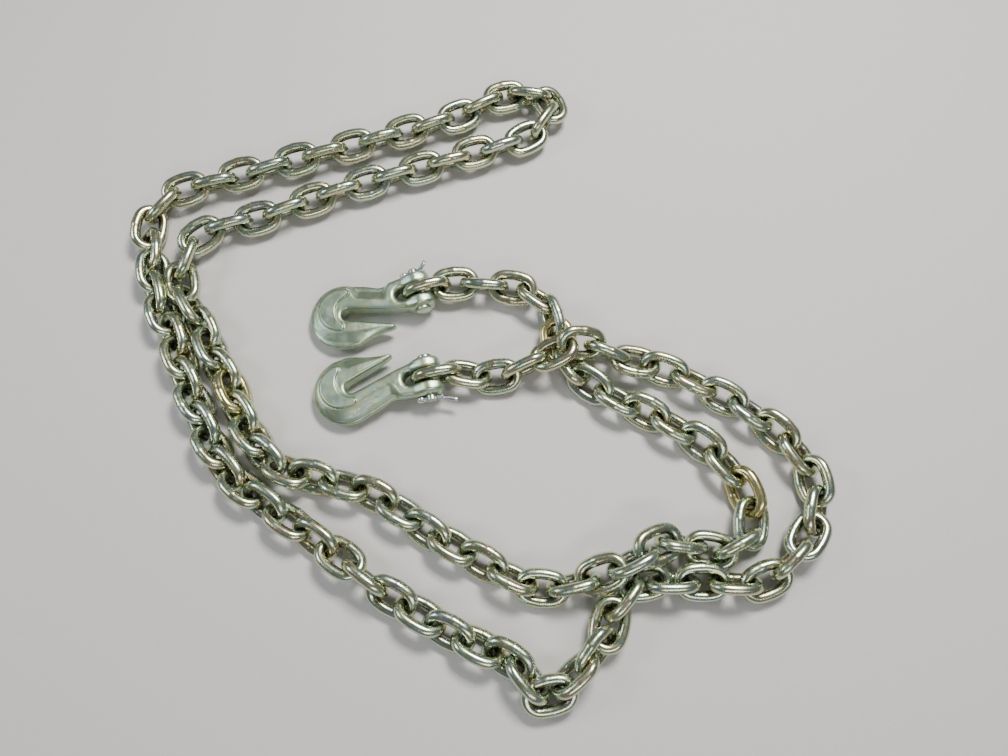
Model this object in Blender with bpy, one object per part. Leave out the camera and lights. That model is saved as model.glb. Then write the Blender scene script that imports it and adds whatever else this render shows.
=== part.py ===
"""A length of yellow chromate transport chain with a clevis grab hook on each end,
lying in loose folds on a level floor.

The links are round wire bent and welded to one size. Their places come from a route
chosen by hand, link by link where the chain turns, and are then settled so that each
link bears on its neighbours, none passes through another and none sinks in the floor.
"""

import bisect
import math

import bmesh
import bpy
import numpy as np
from mathutils import Matrix, Vector

MM = 0.001

# Link, in millimetres
WIRE = 8.7
LINK_INSIDE_LENGTH = 26.4
LINK_INSIDE_WIDTH = 12.6
CROWN_STEPS = 4
WIRE_SIDES_RESOLUTION = 1
SOLID_WIRE_RADIUS = 4.5

CROWN_RADIUS = (LINK_INSIDE_WIDTH + WIRE) / 2
CROWN_CENTRE = (LINK_INSIDE_LENGTH + WIRE) / 2 - CROWN_RADIUS

# Distance between wire centre lines, in millimetres
JOINED = 7.2
CLEAR = 9.07

# Clevis of a hook, in millimetres, with the clevis pin along Y through the origin
PIN_HEIGHT = 14.75
PIN_RADIUS = 4.4
PIN_HOLE_RADIUS = 4.8
EAR_RADIUS = 10.9
EAR_INSIDE = 5.6
EAR_OUTSIDE = 15.2
CLEVIS_SLOT = 5.5
CLEVIS_ROOT = 14.0
PIN_SHIFT = 0.5
CLEVIS_OUTLINE = [(-9.2, -14.8), (8, -15.6), (20.6, -15.2), (30, -13.5)]
EAR_OUTLINE = [(5, 15), (-9.2, 14.8), (-10.7, 12), (-10.7, 8), (-9.2, CLEVIS_SLOT)]

# Bow and throat of a hook, in millimetres, turned from the clevis's line
THROAT_TURN = 20.0
BOW_CENTRE = (62.2, 25.0)
BOW_RADIUS = 28.6
NECK_OUTLINE = [(38, -2.5), (46, -3.6)]
POINT_OUTLINE = [(48, 51.2), (41, 46.8), (34, 42), (25, 37.5), (16.5, 34.8), (16.2, 30.6), (36, 30.2)]
THROAT_CENTRE = (57.3, 24.8)
THROAT_RADIUS = 5.3
SHANK_OUTLINE = [(35, 18.7), (15, 18)]
HOOK_THICKNESS = 16.0
HOOK_EDGE = 1.8
HOOK_TILT = 4.2

# Clevis pin and its cotter, in millimetres
PIN_HEAD_RADIUS = 6.6
PIN_HEAD_LENGTH = 4.0
PIN_TAIL = 6.2
COTTER_HOLE_RADIUS = 2.3
COTTER_WIRE_RADIUS = 0.85
COTTER_PLACE = -18.4
COTTER_LEG_PLACE = 0.95
COTTER_EYE_CENTRE = 8.3
COTTER_EYE_RADIUS = 2.9
COTTER_LONG_TIP = (-20.0, -26.2, 1.6)
COTTER_SHORT_TIP = (-10.0, -20.1, -5.0)

GAP = 0.3

# Route of the links, counted from 0 in the first hook's clevis:
# link, x, y and height of its centre in millimetres, and lean in degrees.
# Lean turns a link about the line of the chain from lying flat, and every odd link
# stands a quarter turn further round.
ROUTE = [
    (1, -42.5, 288.3, 12, 110),
    (3, 7, 284, 12, 110),
    (4, 30, 275, 12, 118),
    (5, 42, 256, 12, 150),
    (6, 47, 238, 10, 190),
    (7, 56, 217, 10, 210),
    (8, 71, 199, 12, 222),
    (10, 115, 174, 12, 225),
    (12, 159, 148, 12, 225),
    (13, 175, 131, 12, 225),
    (14, 190, 110, 12, 225),
    (15, 191, 85, 12, 262),
    (16, 179, 66, 13, 270),
    (17, 157, 66, 14, 255),
    (18, 135, 69, 20, 250),
    (19, 116, 66, 27, 250),
    (20, 96, 53, 27, 250),
    (21, 75, 46, 20, 250),
    (23, 29, 36, 12, 250),
    (25, -17, 56, 12, 228),
    (27, -60, 80, 12, 225),
    (29, -101, 106, 12, 225),
    (31, -151, 121, 12, 225),
    (32, -174, 127, 12, 222),
    (33, -191, 140, 12, 222),
    (34, -203, 156, 12, 225),
    (36, -224, 192, 12, 225),
    (38, -244, 228, 12, 235),
    (40, -265, 266, 12, 255),
    (41, -278, 289, 12, 275),
    (42, -277, 313, 12, 300),
    (43, -266, 335, 12, 290),
    (45, -218, 352, 12, 290),
    (47, -171, 372, 12, 290),
    (50, -100, 397, 12, 290),
    (53, -26, 420, 12, 290),
    (54, -2, 428, 12, 290),
    (55, 20, 438, 12, 285),
    (56, 38, 454, 12, 275),
    (57, 42, 474, 12, 265),
    (58, 24, 484, 12, 255),
    (59, 1, 483, 12, 250),
    (61, -41, 462, 12, 250),
    (64, -114, 436, 12, 250),
    (67, -189, 413, 12, 250),
    (70, -262, 389, 12, 250),
    (71, -287, 382, 12, 250),
    (72, -305, 365, 12, 248),
    (73, -313, 342, 12, 238),
    (74, -309, 320, 12, 228),
    (75, -304, 300, 13, 225),
    (76, -298, 281, 12, 225),
    (78, -279, 240, 12, 225),
    (80, -262, 202, 12, 225),
    (82, -243, 163, 12, 225),
    (84, -221, 129, 12, 225),
    (86, -189, 101, 12, 228),
    (88, -146, 73, 12, 230),
    (90, -104, 43, 12, 275),
    (91, -83, 29, 12, 305),
    (93, -41, 5, 12, 315),
    (95, 4, -16, 12, 315),
    (96, 18, -26, 12, 300),
    (97, 32, -39, 12, 280),
    (98, 48, -23, 15, 300),
    (99, 70, -11, 13, 330),
    (100, 79, 11, 12, 362),
    (101, 90, 31, 10, 372),
    (102, 105, 40, 9, 378),
    (103, 125, 39, 11, 380),
    (104, 148, 41, 12, 380),
    (106, 198, 41, 12, 378),
    (107, 218, 57, 12, 360),
    (108, 234, 75, 12, 340),
    (109, 242, 94, 12, 325),
    (110, 245, 117, 12, 318),
    (112, 218, 159, 12, 315),
    (114, 180, 187, 12, 315),
    (116, 133, 211, 13, 312),
    (117, 109, 218, 16, 285),
    (118, 85, 223, 23, 250),
    (119, 63, 228, 28, 220),
    (120, 41, 219, 27, 214),
    (121, 19, 213, 20, 184),
    (122, -3, 202, 13, 152),
    (123, -28.5, 205, 12, 135),
]
LINKS = 125

# Hooks: name, pin's place in millimetres, heading of the bow, and whether turned over
FIRST_HOOK = ("a", (-73.0, 280.3), 197.0, False)
LAST_HOOK = ("b", (-62.6, 203.4), 191.5, True)

# Links whose holes face upwards stay single: each is a node of its own
SINGLE_LINKS = (3, 10, 23, 29, 47, 53, 63, 69, 86, 93, 104, 112)
RUN = 3

SETTLE_STEPS = 500
PATH_SAMPLES = 34

# Links with a warmer coat than the rest
GOLDEN_LINKS = (6, 14, 36)

LINK_COLOUR = (0.42, 0.41, 0.25, 1.0)
GOLDEN_COLOUR = (0.58, 0.50, 0.22, 1.0)
HOOK_COLOUR = (0.36, 0.42, 0.37, 1.0)
PIN_COLOUR = (0.40, 0.44, 0.38, 1.0)
COTTER_COLOUR = (0.62, 0.64, 0.66, 1.0)


def link_corners():
    """Corners of a link's centre line: two half-round crowns joined by straight bars."""
    corners = []
    for end in (1, -1):
        for k in range(CROWN_STEPS + 1):
            a = -math.pi / 2 + math.pi * k / CROWN_STEPS
            corners.append((end * (CROWN_CENTRE + CROWN_RADIUS * math.cos(a)),
                            end * CROWN_RADIUS * math.sin(a), 0))
    return np.array(corners, float)


def link_path(samples):
    """Equal steps round the many-sided centre line of a link."""
    corners = link_corners()
    sides = np.roll(corners, -1, axis=0) - corners
    lengths = np.linalg.norm(sides, axis=1)
    ends = np.cumsum(lengths)
    at = ends[-1] * np.arange(samples) / samples
    side = np.searchsorted(ends, at, side="right")
    along = (at - ends[side] + lengths[side]) / lengths[side]
    return corners[side] + along[:, None] * sides[side]


def smooth(knots, values, at):
    """Cubic through the hand-chosen values, with each slope taken from its neighbours."""
    slopes = np.gradient(values, knots, axis=0)
    out = []
    for t in at:
        k = min(max(bisect.bisect_right(knots, t) - 1, 0), len(knots) - 2)
        span = knots[k + 1] - knots[k]
        u = (t - knots[k]) / span
        out.append((2 * u**3 - 3 * u**2 + 1) * values[k] + (u**3 - 2 * u**2 + u) * span * slopes[k]
                   + (3 * u**2 - 2 * u**3) * values[k + 1] + (u**3 - u**2) * span * slopes[k + 1])
    return np.array(out)


def unit(v):
    return v / np.linalg.norm(v, axis=-1, keepdims=True)


def clevis_link(hook):
    """Pose of the link that stands upright in a hook's clevis, pulled against the pin."""
    _, (x, y), heading, _ = hook
    away = math.radians(heading + 180)
    along = np.array((math.cos(away), math.sin(away), 0))
    reach = CROWN_CENTRE + PIN_SHIFT
    centre = np.array((x, y, CROWN_RADIUS + SOLID_WIRE_RADIUS)) + reach * along
    up = np.array((0.0, 0.0, 1.0))
    return centre, np.column_stack((along, up, np.cross(along, up)))


def first_poses():
    """Centres and frames of the links on the hand-chosen route, before they settle."""
    knots = [row[0] for row in ROUTE]
    inner = np.arange(1, LINKS - 1)
    values = np.array([row[1:] for row in ROUTE], float)
    placed = smooth(knots, values, inner)
    start, start_frame = clevis_link(FIRST_HOOK)
    end, end_frame = clevis_link(LAST_HOOK)
    centres = np.vstack((start, placed[:, :3], end))
    along = np.zeros((LINKS, 3))
    along[1:-1] = unit(centres[2:] - centres[:-2])
    up = np.array((0.0, 0.0, 1.0))
    side = unit(np.cross(up, along[1:-1]))
    rise = np.cross(along[1:-1], side)
    turn = np.radians(placed[:, 3] + 90 * (inner % 2))[:, None]
    across = np.cos(turn) * side + np.sin(turn) * rise
    frames = np.zeros((LINKS, 3, 3))
    frames[1:-1] = np.stack((along[1:-1], across, np.cross(along[1:-1], across)), axis=2)
    frames[0] = start_frame
    frames[-1] = end_frame
    return centres, frames


def runs():
    """Links of each node: single ones, and runs of up to three between them."""
    groups = []
    current = []
    for k in range(LINKS):
        if k in SINGLE_LINKS:
            if current:
                groups.append(current)
            groups.append([k])
            current = []
            continue
        current.append(k)
        if len(current) == RUN:
            groups.append(current)
            current = []
    if current:
        groups.append(current)
    return groups


def near_pairs(centres, groups):
    """Pairs of links close enough to meet, with the least distance each pair keeps."""
    node_of = {k: g for g, group in enumerate(groups) for k in group}
    first, second, least = [], [], []
    gap = np.linalg.norm(centres[:, None] - centres[None], axis=2)
    for i in range(LINKS):
        for j in range(i + 1, LINKS):
            if j == i + 1 or gap[i, j] < 52:
                first.append(i)
                second.append(j)
                least.append(JOINED if j == i + 1 and node_of[i] == node_of[j] else CLEAR)
    return np.array(first), np.array(second), np.array(least)


def turned(frames, spin):
    """Frames turned by small rotation vectors, made square again."""
    moved = frames + np.cross(spin[:, :, None], frames, axis=1)
    x = unit(moved[:, :, 0])
    z = unit(np.cross(x, moved[:, :, 1]))
    return np.stack((x, np.cross(z, x), z), axis=2)


def settle(groups):
    """Centres and frames of the links where each bears on the next and on the floor."""
    path = link_path(PATH_SAMPLES)
    centres, frames = first_poses()
    wanted = centres.copy()
    wanted_frames = frames.copy()
    fixed = np.zeros(LINKS, bool)
    fixed[[0, -1]] = True
    free = np.where(fixed, 0.0, 1.0)[:, None]
    spread = CROWN_RADIUS + 2
    for step in range(SETTLE_STEPS):
        if step % 50 == 0:
            first, second, least = near_pairs(centres, groups)
            beside = second == first + 1
        calm = step / SETTLE_STEPS
        points = centres[:, None] + path @ frames.transpose(0, 2, 1)
        shift = np.zeros((LINKS, 3))
        spin = np.zeros((LINKS, 3))
        weight = np.zeros(LINKS)

        def press(links, arms, push):
            np.add.at(shift, links, push)
            np.add.at(spin, links, np.cross(arms, push) / spread**2)
            np.add.at(weight, links, 1.0)

        between = points[first][:, :, None] - points[second][:, None]
        far = np.sqrt((between**2).sum(3))
        for axis in (1, 2):
            nearest = far.argmin(axis=3 - axis)
            if axis == 1:
                rows = np.arange(PATH_SAMPLES)[None]
                dist = far[np.arange(len(first))[:, None], rows, nearest]
                line = between[np.arange(len(first))[:, None], rows, nearest]
                own = np.broadcast_to(rows, nearest.shape)
                other = nearest
            else:
                rows = np.arange(PATH_SAMPLES)[None]
                dist = far[np.arange(len(first))[:, None], nearest, rows]
                line = between[np.arange(len(first))[:, None], nearest, rows]
                own = nearest
                other = np.broadcast_to(rows, nearest.shape)
            lack = least[:, None] - dist
            touch = lack > 0
            closest = dist.argmin(axis=1)
            apart = beside & (dist.min(axis=1) > least)
            touch[apart, closest[apart]] = True
            pair, column = np.nonzero(touch)
            a, b = first[pair], second[pair]
            normal = unit(line[pair, column])
            arm_a = points[a, own[pair, column]] - centres[a]
            arm_b = points[b, other[pair, column]] - centres[b]
            ease_a = free[a, 0] * (1 + (np.cross(arm_a, normal)**2).sum(1) / spread**2)
            ease_b = free[b, 0] * (1 + (np.cross(arm_b, normal)**2).sum(1) / spread**2)
            size = lack[pair, column] / np.maximum(ease_a + ease_b, 0.5)
            push = size[:, None] * normal
            press(a, arm_a, push)
            press(b, arm_b, -push)
        low = SOLID_WIRE_RADIUS - points[:, :, 2]
        link, sample = np.nonzero(low > 0)
        arm = points[link, sample] - centres[link]
        lift = np.zeros((len(link), 3))
        lift[:, 2] = low[link, sample]
        lift /= (1 + (np.cross(arm, (0, 0, 1))**2).sum(1) / spread**2)[:, None]
        press(link, arm, lift)
        scale = 1.6 / np.maximum(weight, 1.6)[:, None]
        pull = 0.03 * (1 - calm)
        centres += free * (scale * shift)
        centres[:, :2] += pull * free * (wanted - centres)[:, :2]
        centres[:, 2] -= 0.08 * max(0.0, 0.85 - calm) * free[:, 0]
        back = 0.5 * np.cross(frames, wanted_frames, axis=1).sum(2)
        frames = turned(frames, free * (scale * spin + pull * back))
    return centres, frames


def arc(centre, radius, first, last, steps):
    """Points of an arc, with its angles in degrees."""
    points = []
    for k in range(steps + 1):
        a = math.radians(first + (last - first) * k / steps)
        points.append((centre[0] + radius * math.cos(a), centre[1] + radius * math.sin(a)))
    return points


def hook_outline():
    """Flat outline of a hook body: clevis, neck, bow, point, throat and shank."""
    turn = math.radians(-THROAT_TURN)
    bow = NECK_OUTLINE + arc(BOW_CENTRE, BOW_RADIUS, -100, 95, 15) + POINT_OUTLINE
    bow += arc(THROAT_CENTRE, THROAT_RADIUS, 90, -90, 6) + SHANK_OUTLINE
    turned_bow = [(x * math.cos(turn) - y * math.sin(turn), x * math.sin(turn) + y * math.cos(turn))
                  for x, y in bow]
    slot = arc((CLEVIS_ROOT, 0), CLEVIS_SLOT, 90, -90, 6)
    far_ear = [(x, -y) for x, y in reversed(EAR_OUTLINE[2:])]
    return CLEVIS_OUTLINE + turned_bow + EAR_OUTLINE + slot + far_ear


def hook_place(hook):
    """Matrix of a hook from its own frame, in metres, with its bow let down to the floor."""
    _, (x, y), heading, turned_over = hook
    angle = math.radians(heading)
    tilt = math.radians(HOOK_TILT)
    level = Vector((math.cos(angle), math.sin(angle), 0))
    up = Vector((0, 0, -1 if turned_over else 1))
    across = up.cross(level)
    forward = level * math.cos(tilt) + Vector((0, 0, -math.sin(tilt)))
    normal = forward.cross(across)
    turn = Matrix((forward, across, normal)).transposed().to_4x4()
    return Matrix.Translation(Vector((x, y, PIN_HEIGHT)) * MM) @ turn


def metal(name, colour, roughness):
    """Bare plated metal."""
    material = bpy.data.materials.new(name)
    material.use_nodes = True
    shader = material.node_tree.nodes["Principled BSDF"]
    shader.inputs["Base Color"].default_value = colour
    shader.inputs["Roughness"].default_value = roughness
    shader.inputs["Metallic"].default_value = 1.0
    material.diffuse_color = colour
    return material


def poly_curve(name, points, cyclic, depth, resolution):
    """Round wire along straight pieces between the points, in metres."""
    curve = bpy.data.curves.new(name, "CURVE")
    curve.dimensions = "3D"
    curve.twist_mode = "Z_UP"
    curve.bevel_depth = depth * MM
    curve.bevel_resolution = resolution
    curve.use_fill_caps = not cyclic
    spline = curve.splines.new("POLY")
    spline.points.add(len(points) - 1)
    for point, co in zip(spline.points, points):
        point.co = (co[0] * MM, co[1] * MM, co[2] * MM, 1)
    spline.use_cyclic_u = cyclic
    return bpy.data.objects.new(name, curve)


def as_mesh(source, name, collection):
    """Mesh object of a curve object, with welded caps, in the curve's place."""
    bpy.context.scene.collection.objects.link(source)
    bpy.context.view_layer.update()
    ready = source.evaluated_get(bpy.context.evaluated_depsgraph_get())
    mesh = bpy.data.meshes.new_from_object(ready)
    mesh.name = name
    work = bmesh.new()
    work.from_mesh(mesh)
    bmesh.ops.remove_doubles(work, verts=work.verts, dist=0.00001)
    bmesh.ops.recalc_face_normals(work, faces=work.faces)
    work.to_mesh(mesh)
    work.free()
    made = bpy.data.objects.new(name, mesh)
    made.matrix_world = source.matrix_world
    bpy.data.objects.remove(source)
    collection.objects.link(made)
    return made


def drop_pockets(mesh):
    """Remove closed pockets left inside a union, which are smaller than the outer skin."""
    work = bmesh.new()
    work.from_mesh(mesh)
    shells = []
    unseen = set(work.verts)
    while unseen:
        shell = []
        stack = [unseen.pop()]
        while stack:
            vertex = stack.pop()
            shell.append(vertex)
            for edge in vertex.link_edges:
                other = edge.other_vert(vertex)
                if other in unseen:
                    unseen.remove(other)
                    stack.append(other)
        shells.append(shell)
    shells.sort(key=len)
    for shell in shells[:-1]:
        bmesh.ops.delete(work, geom=shell, context="VERTS")
    work.to_mesh(mesh)
    work.free()


def combine(target, other, operation):
    """Boolean of two closed meshes, kept on the first; the second is used up."""
    modifier = target.modifiers.new("combine", "BOOLEAN")
    modifier.operation = operation
    modifier.solver = "EXACT"
    modifier.object = other
    bpy.context.view_layer.update()
    ready = target.evaluated_get(bpy.context.evaluated_depsgraph_get())
    mesh = bpy.data.meshes.new_from_object(ready)
    drop_pockets(mesh)
    old = target.data
    mesh.name = old.name
    target.modifiers.remove(modifier)
    target.data = mesh
    bpy.data.meshes.remove(old)
    bpy.data.objects.remove(other)


def cylinder(name, radius, length, centre, axis, sides, collection):
    """Closed cylinder in the hook's own frame, along its X or Y axis."""
    work = bmesh.new()
    bmesh.ops.create_cone(work, cap_ends=True, segments=sides, radius1=radius * MM,
                          radius2=radius * MM, depth=length * MM)
    turn = Matrix.Rotation(math.pi / 2, 4, "X" if axis == "Y" else "Y")
    place = Matrix.Translation(Vector(centre) * MM) @ turn
    bmesh.ops.transform(work, matrix=place, verts=work.verts)
    mesh = bpy.data.meshes.new(name)
    work.to_mesh(mesh)
    work.free()
    made = bpy.data.objects.new(name, mesh)
    collection.objects.link(made)
    return made


def build_link_node(group, centres, frames, collection):
    """One node of the chain: a single link, or a run of links that bear on each other."""
    name = f"link_{group[0]:03d}" if len(group) == 1 else f"links_{group[0]:03d}_{group[-1]:03d}"
    node = None
    for k in group:
        wire = poly_curve(f"wire_{k:03d}", link_corners(), True, SOLID_WIRE_RADIUS,
                          WIRE_SIDES_RESOLUTION)
        wire.matrix_world = Matrix.Translation(Vector(centres[k]) * MM) @ Matrix(frames[k]).to_4x4()
        link = as_mesh(wire, name if node is None else f"{name}_part", collection)
        if node is None:
            node = link
        else:
            combine(node, link, "UNION")
    golden = any(k in GOLDEN_LINKS for k in group)
    node.data.materials.clear()
    node.data.materials.append(metal(f"{name} coat", GOLDEN_COLOUR if golden else LINK_COLOUR, 0.32))
    node.data.shade_smooth()
    node.data.set_sharp_from_angle(angle=math.radians(70))
    return node


def build_hook_body(hook, collection):
    """Forged body of a clevis grab hook: flat bow with rounded edges, and two round ears."""
    name = f"hook_{hook[0]}"
    curve = bpy.data.curves.new(name, "CURVE")
    curve.dimensions = "2D"
    curve.fill_mode = "BOTH"
    curve.extrude = (HOOK_THICKNESS / 2 - HOOK_EDGE) * MM
    curve.bevel_depth = HOOK_EDGE * MM
    curve.bevel_resolution = 0
    curve.offset = -HOOK_EDGE * MM
    spline = curve.splines.new("POLY")
    outline = hook_outline()
    spline.points.add(len(outline) - 1)
    for point, (x, y) in zip(spline.points, outline):
        point.co = (x * MM, y * MM, 0, 1)
    spline.use_cyclic_u = True
    body = as_mesh(bpy.data.objects.new(f"{name}_outline", curve), name, collection)
    width = EAR_OUTSIDE - EAR_INSIDE
    for side in (1, -1):
        centre = (0, side * (EAR_OUTSIDE + EAR_INSIDE) / 2, 0)
        ear = cylinder("ear", EAR_RADIUS, width, centre, "Y", 20, collection)
        combine(body, ear, "UNION")
    hole = cylinder("pin_hole", PIN_HOLE_RADIUS, 3 * EAR_OUTSIDE, (0, 0, 0), "Y", 16, collection)
    combine(body, hole, "DIFFERENCE")
    return body


def build_pin(hook, collection):
    """Clevis pin with a round head, and a cross hole through its tail for the cotter."""
    name = f"clevis_pin_{hook[0]}"
    head_at = EAR_OUTSIDE + GAP
    tail_at = -EAR_OUTSIDE - PIN_TAIL
    shank = head_at + PIN_HEAD_LENGTH / 2 - tail_at
    pin = cylinder(name, PIN_RADIUS, shank, (0, tail_at + shank / 2, 0), "Y", 16, collection)
    centre = (0, head_at + PIN_HEAD_LENGTH / 2, 0)
    head = cylinder("pin_head", PIN_HEAD_RADIUS, PIN_HEAD_LENGTH, centre, "Y", 20, collection)
    combine(pin, head, "UNION")
    hole = cylinder("cotter_hole", COTTER_HOLE_RADIUS, 4 * PIN_RADIUS, (0, COTTER_PLACE, 0), "X",
                    10, collection)
    combine(pin, hole, "DIFFERENCE")
    return pin


def build_cotter(hook, collection):
    """Cotter of one bent wire: an eye, two legs through the pin, and both tips splayed."""
    name = f"cotter_{hook[0]}"
    y = COTTER_PLACE
    z = COTTER_LEG_PLACE
    path = [COTTER_LONG_TIP, (-13.0, -22.3, 1.4), (-7.5, -19.6, 1.1), (-5.0, y, z), (4.5, y, z)]
    for k in range(9):
        a = math.radians(160 - 40 * k)
        path.append((COTTER_EYE_CENTRE + COTTER_EYE_RADIUS * math.cos(a), y,
                     COTTER_EYE_RADIUS * math.sin(a)))
    path += [(4.5, y, -z), (-5.0, y, -z), (-7.2, -18.9, -2.0), COTTER_SHORT_TIP]
    return as_mesh(poly_curve(f"{name}_wire", path, False, COTTER_WIRE_RADIUS, 1), name, collection)


def build_hook(hook, collection):
    """A hook with its pin and cotter, under an empty on the pin's axis."""
    joint = bpy.data.objects.new(f"hook_{hook[0]}_pin_axis", None)
    joint.empty_display_size = 0.02
    joint.matrix_world = hook_place(hook)
    collection.objects.link(joint)
    body = build_hook_body(hook, collection)
    pin = build_pin(hook, collection)
    cotter = build_cotter(hook, collection)
    looks = ((body, HOOK_COLOUR, 0.38), (pin, PIN_COLOUR, 0.34), (cotter, COTTER_COLOUR, 0.28))
    for piece, colour, roughness in looks:
        piece.parent = joint
        piece.data.materials.clear()
        piece.data.materials.append(metal(f"{piece.name} coat", colour, roughness))
        piece.data.shade_smooth()
        piece.data.set_sharp_from_angle(angle=math.radians(32))
    return [body, pin, cotter]


def stand_on_origin(pieces):
    """Shift everything so that the middle of its footprint is the origin, and it stands at Z 0."""
    bpy.context.view_layer.update()
    corners = []
    for piece in pieces:
        flat = np.empty(3 * len(piece.data.vertices))
        piece.data.vertices.foreach_get("co", flat)
        place = np.array(piece.matrix_world)
        corners.append(flat.reshape(-1, 3) @ place[:3, :3].T + place[:3, 3])
    corners = np.vstack(corners)
    low = corners.min(axis=0)
    high = corners.max(axis=0)
    shift = Matrix.Translation((-(low[0] + high[0]) / 2, -(low[1] + high[1]) / 2, -low[2]))
    for thing in pieces:
        if thing.parent is None:
            thing.matrix_world = shift @ thing.matrix_world
    for joint in {thing.parent for thing in pieces if thing.parent}:
        joint.matrix_world = shift @ joint.matrix_world
    bpy.context.view_layer.update()


def main():
    """Build every piece of the chain."""
    for thing in list(bpy.data.objects):
        bpy.data.objects.remove(thing)
    collection = bpy.data.collections.new("chain_with_grab_hooks")
    bpy.context.scene.collection.children.link(collection)
    groups = runs()
    centres, frames = settle(groups)
    pieces = [build_link_node(group, centres, frames, collection) for group in groups]
    for hook in (FIRST_HOOK, LAST_HOOK):
        pieces += build_hook(hook, collection)
    stand_on_origin(pieces)


if __name__ == "__main__":
    main()
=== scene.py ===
"""A length of yellow chromate transport chain with a clevis grab hook on each end,
lying in loose folds on a level floor.

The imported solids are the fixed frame. Every link, hook, pin and cotter is built again
here at its full roundness, in the place of its solid, and rides on the same body.
Lengths are in millimetres in the route's own frame until a mesh is made.
"""

import bisect
import logging
import math
from collections.abc import Callable
from dataclasses import dataclass
from enum import Enum

import bpy
import numpy as np
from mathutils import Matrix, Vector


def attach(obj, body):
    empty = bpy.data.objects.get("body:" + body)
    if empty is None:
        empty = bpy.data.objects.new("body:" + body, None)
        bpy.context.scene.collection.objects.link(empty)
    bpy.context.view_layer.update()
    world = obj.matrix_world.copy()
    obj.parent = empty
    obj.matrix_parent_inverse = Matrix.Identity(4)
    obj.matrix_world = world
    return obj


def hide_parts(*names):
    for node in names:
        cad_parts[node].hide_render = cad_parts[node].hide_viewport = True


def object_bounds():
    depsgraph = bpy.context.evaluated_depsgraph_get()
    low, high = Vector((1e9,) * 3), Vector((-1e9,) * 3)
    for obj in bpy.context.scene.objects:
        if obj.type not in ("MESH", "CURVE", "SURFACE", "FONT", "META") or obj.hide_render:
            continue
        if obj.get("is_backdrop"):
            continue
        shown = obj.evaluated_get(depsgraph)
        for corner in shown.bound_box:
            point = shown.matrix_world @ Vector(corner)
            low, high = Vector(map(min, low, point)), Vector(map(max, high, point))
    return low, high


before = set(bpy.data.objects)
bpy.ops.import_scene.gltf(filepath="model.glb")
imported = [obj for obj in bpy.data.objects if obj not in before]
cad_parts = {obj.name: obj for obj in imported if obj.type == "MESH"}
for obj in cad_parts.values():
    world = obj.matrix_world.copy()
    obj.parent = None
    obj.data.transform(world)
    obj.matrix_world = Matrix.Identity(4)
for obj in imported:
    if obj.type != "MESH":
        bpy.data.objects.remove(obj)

LOG = logging.getLogger("chain")
MM = 0.001
# From the route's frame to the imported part's, whose box stands in the middle of the floor.
ROUTE_TO_FLOOR = np.array((34.9114, -221.9136, 0.0947))
SEED = 11


class Slot(Enum):
    """Names of material slots that the pieces' finishes stand for."""

    CHAIN = "chain_coat"
    GOLDEN = "golden_coat"
    HOOK = "hook_coat"
    PIN = "pin_coat"
    COTTER = "cotter_coat"


class Body(Enum):
    """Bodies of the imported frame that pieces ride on."""

    CHAIN = "chain"
    HOOK_A = "hook_a"
    HOOK_B = "hook_b"


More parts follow.
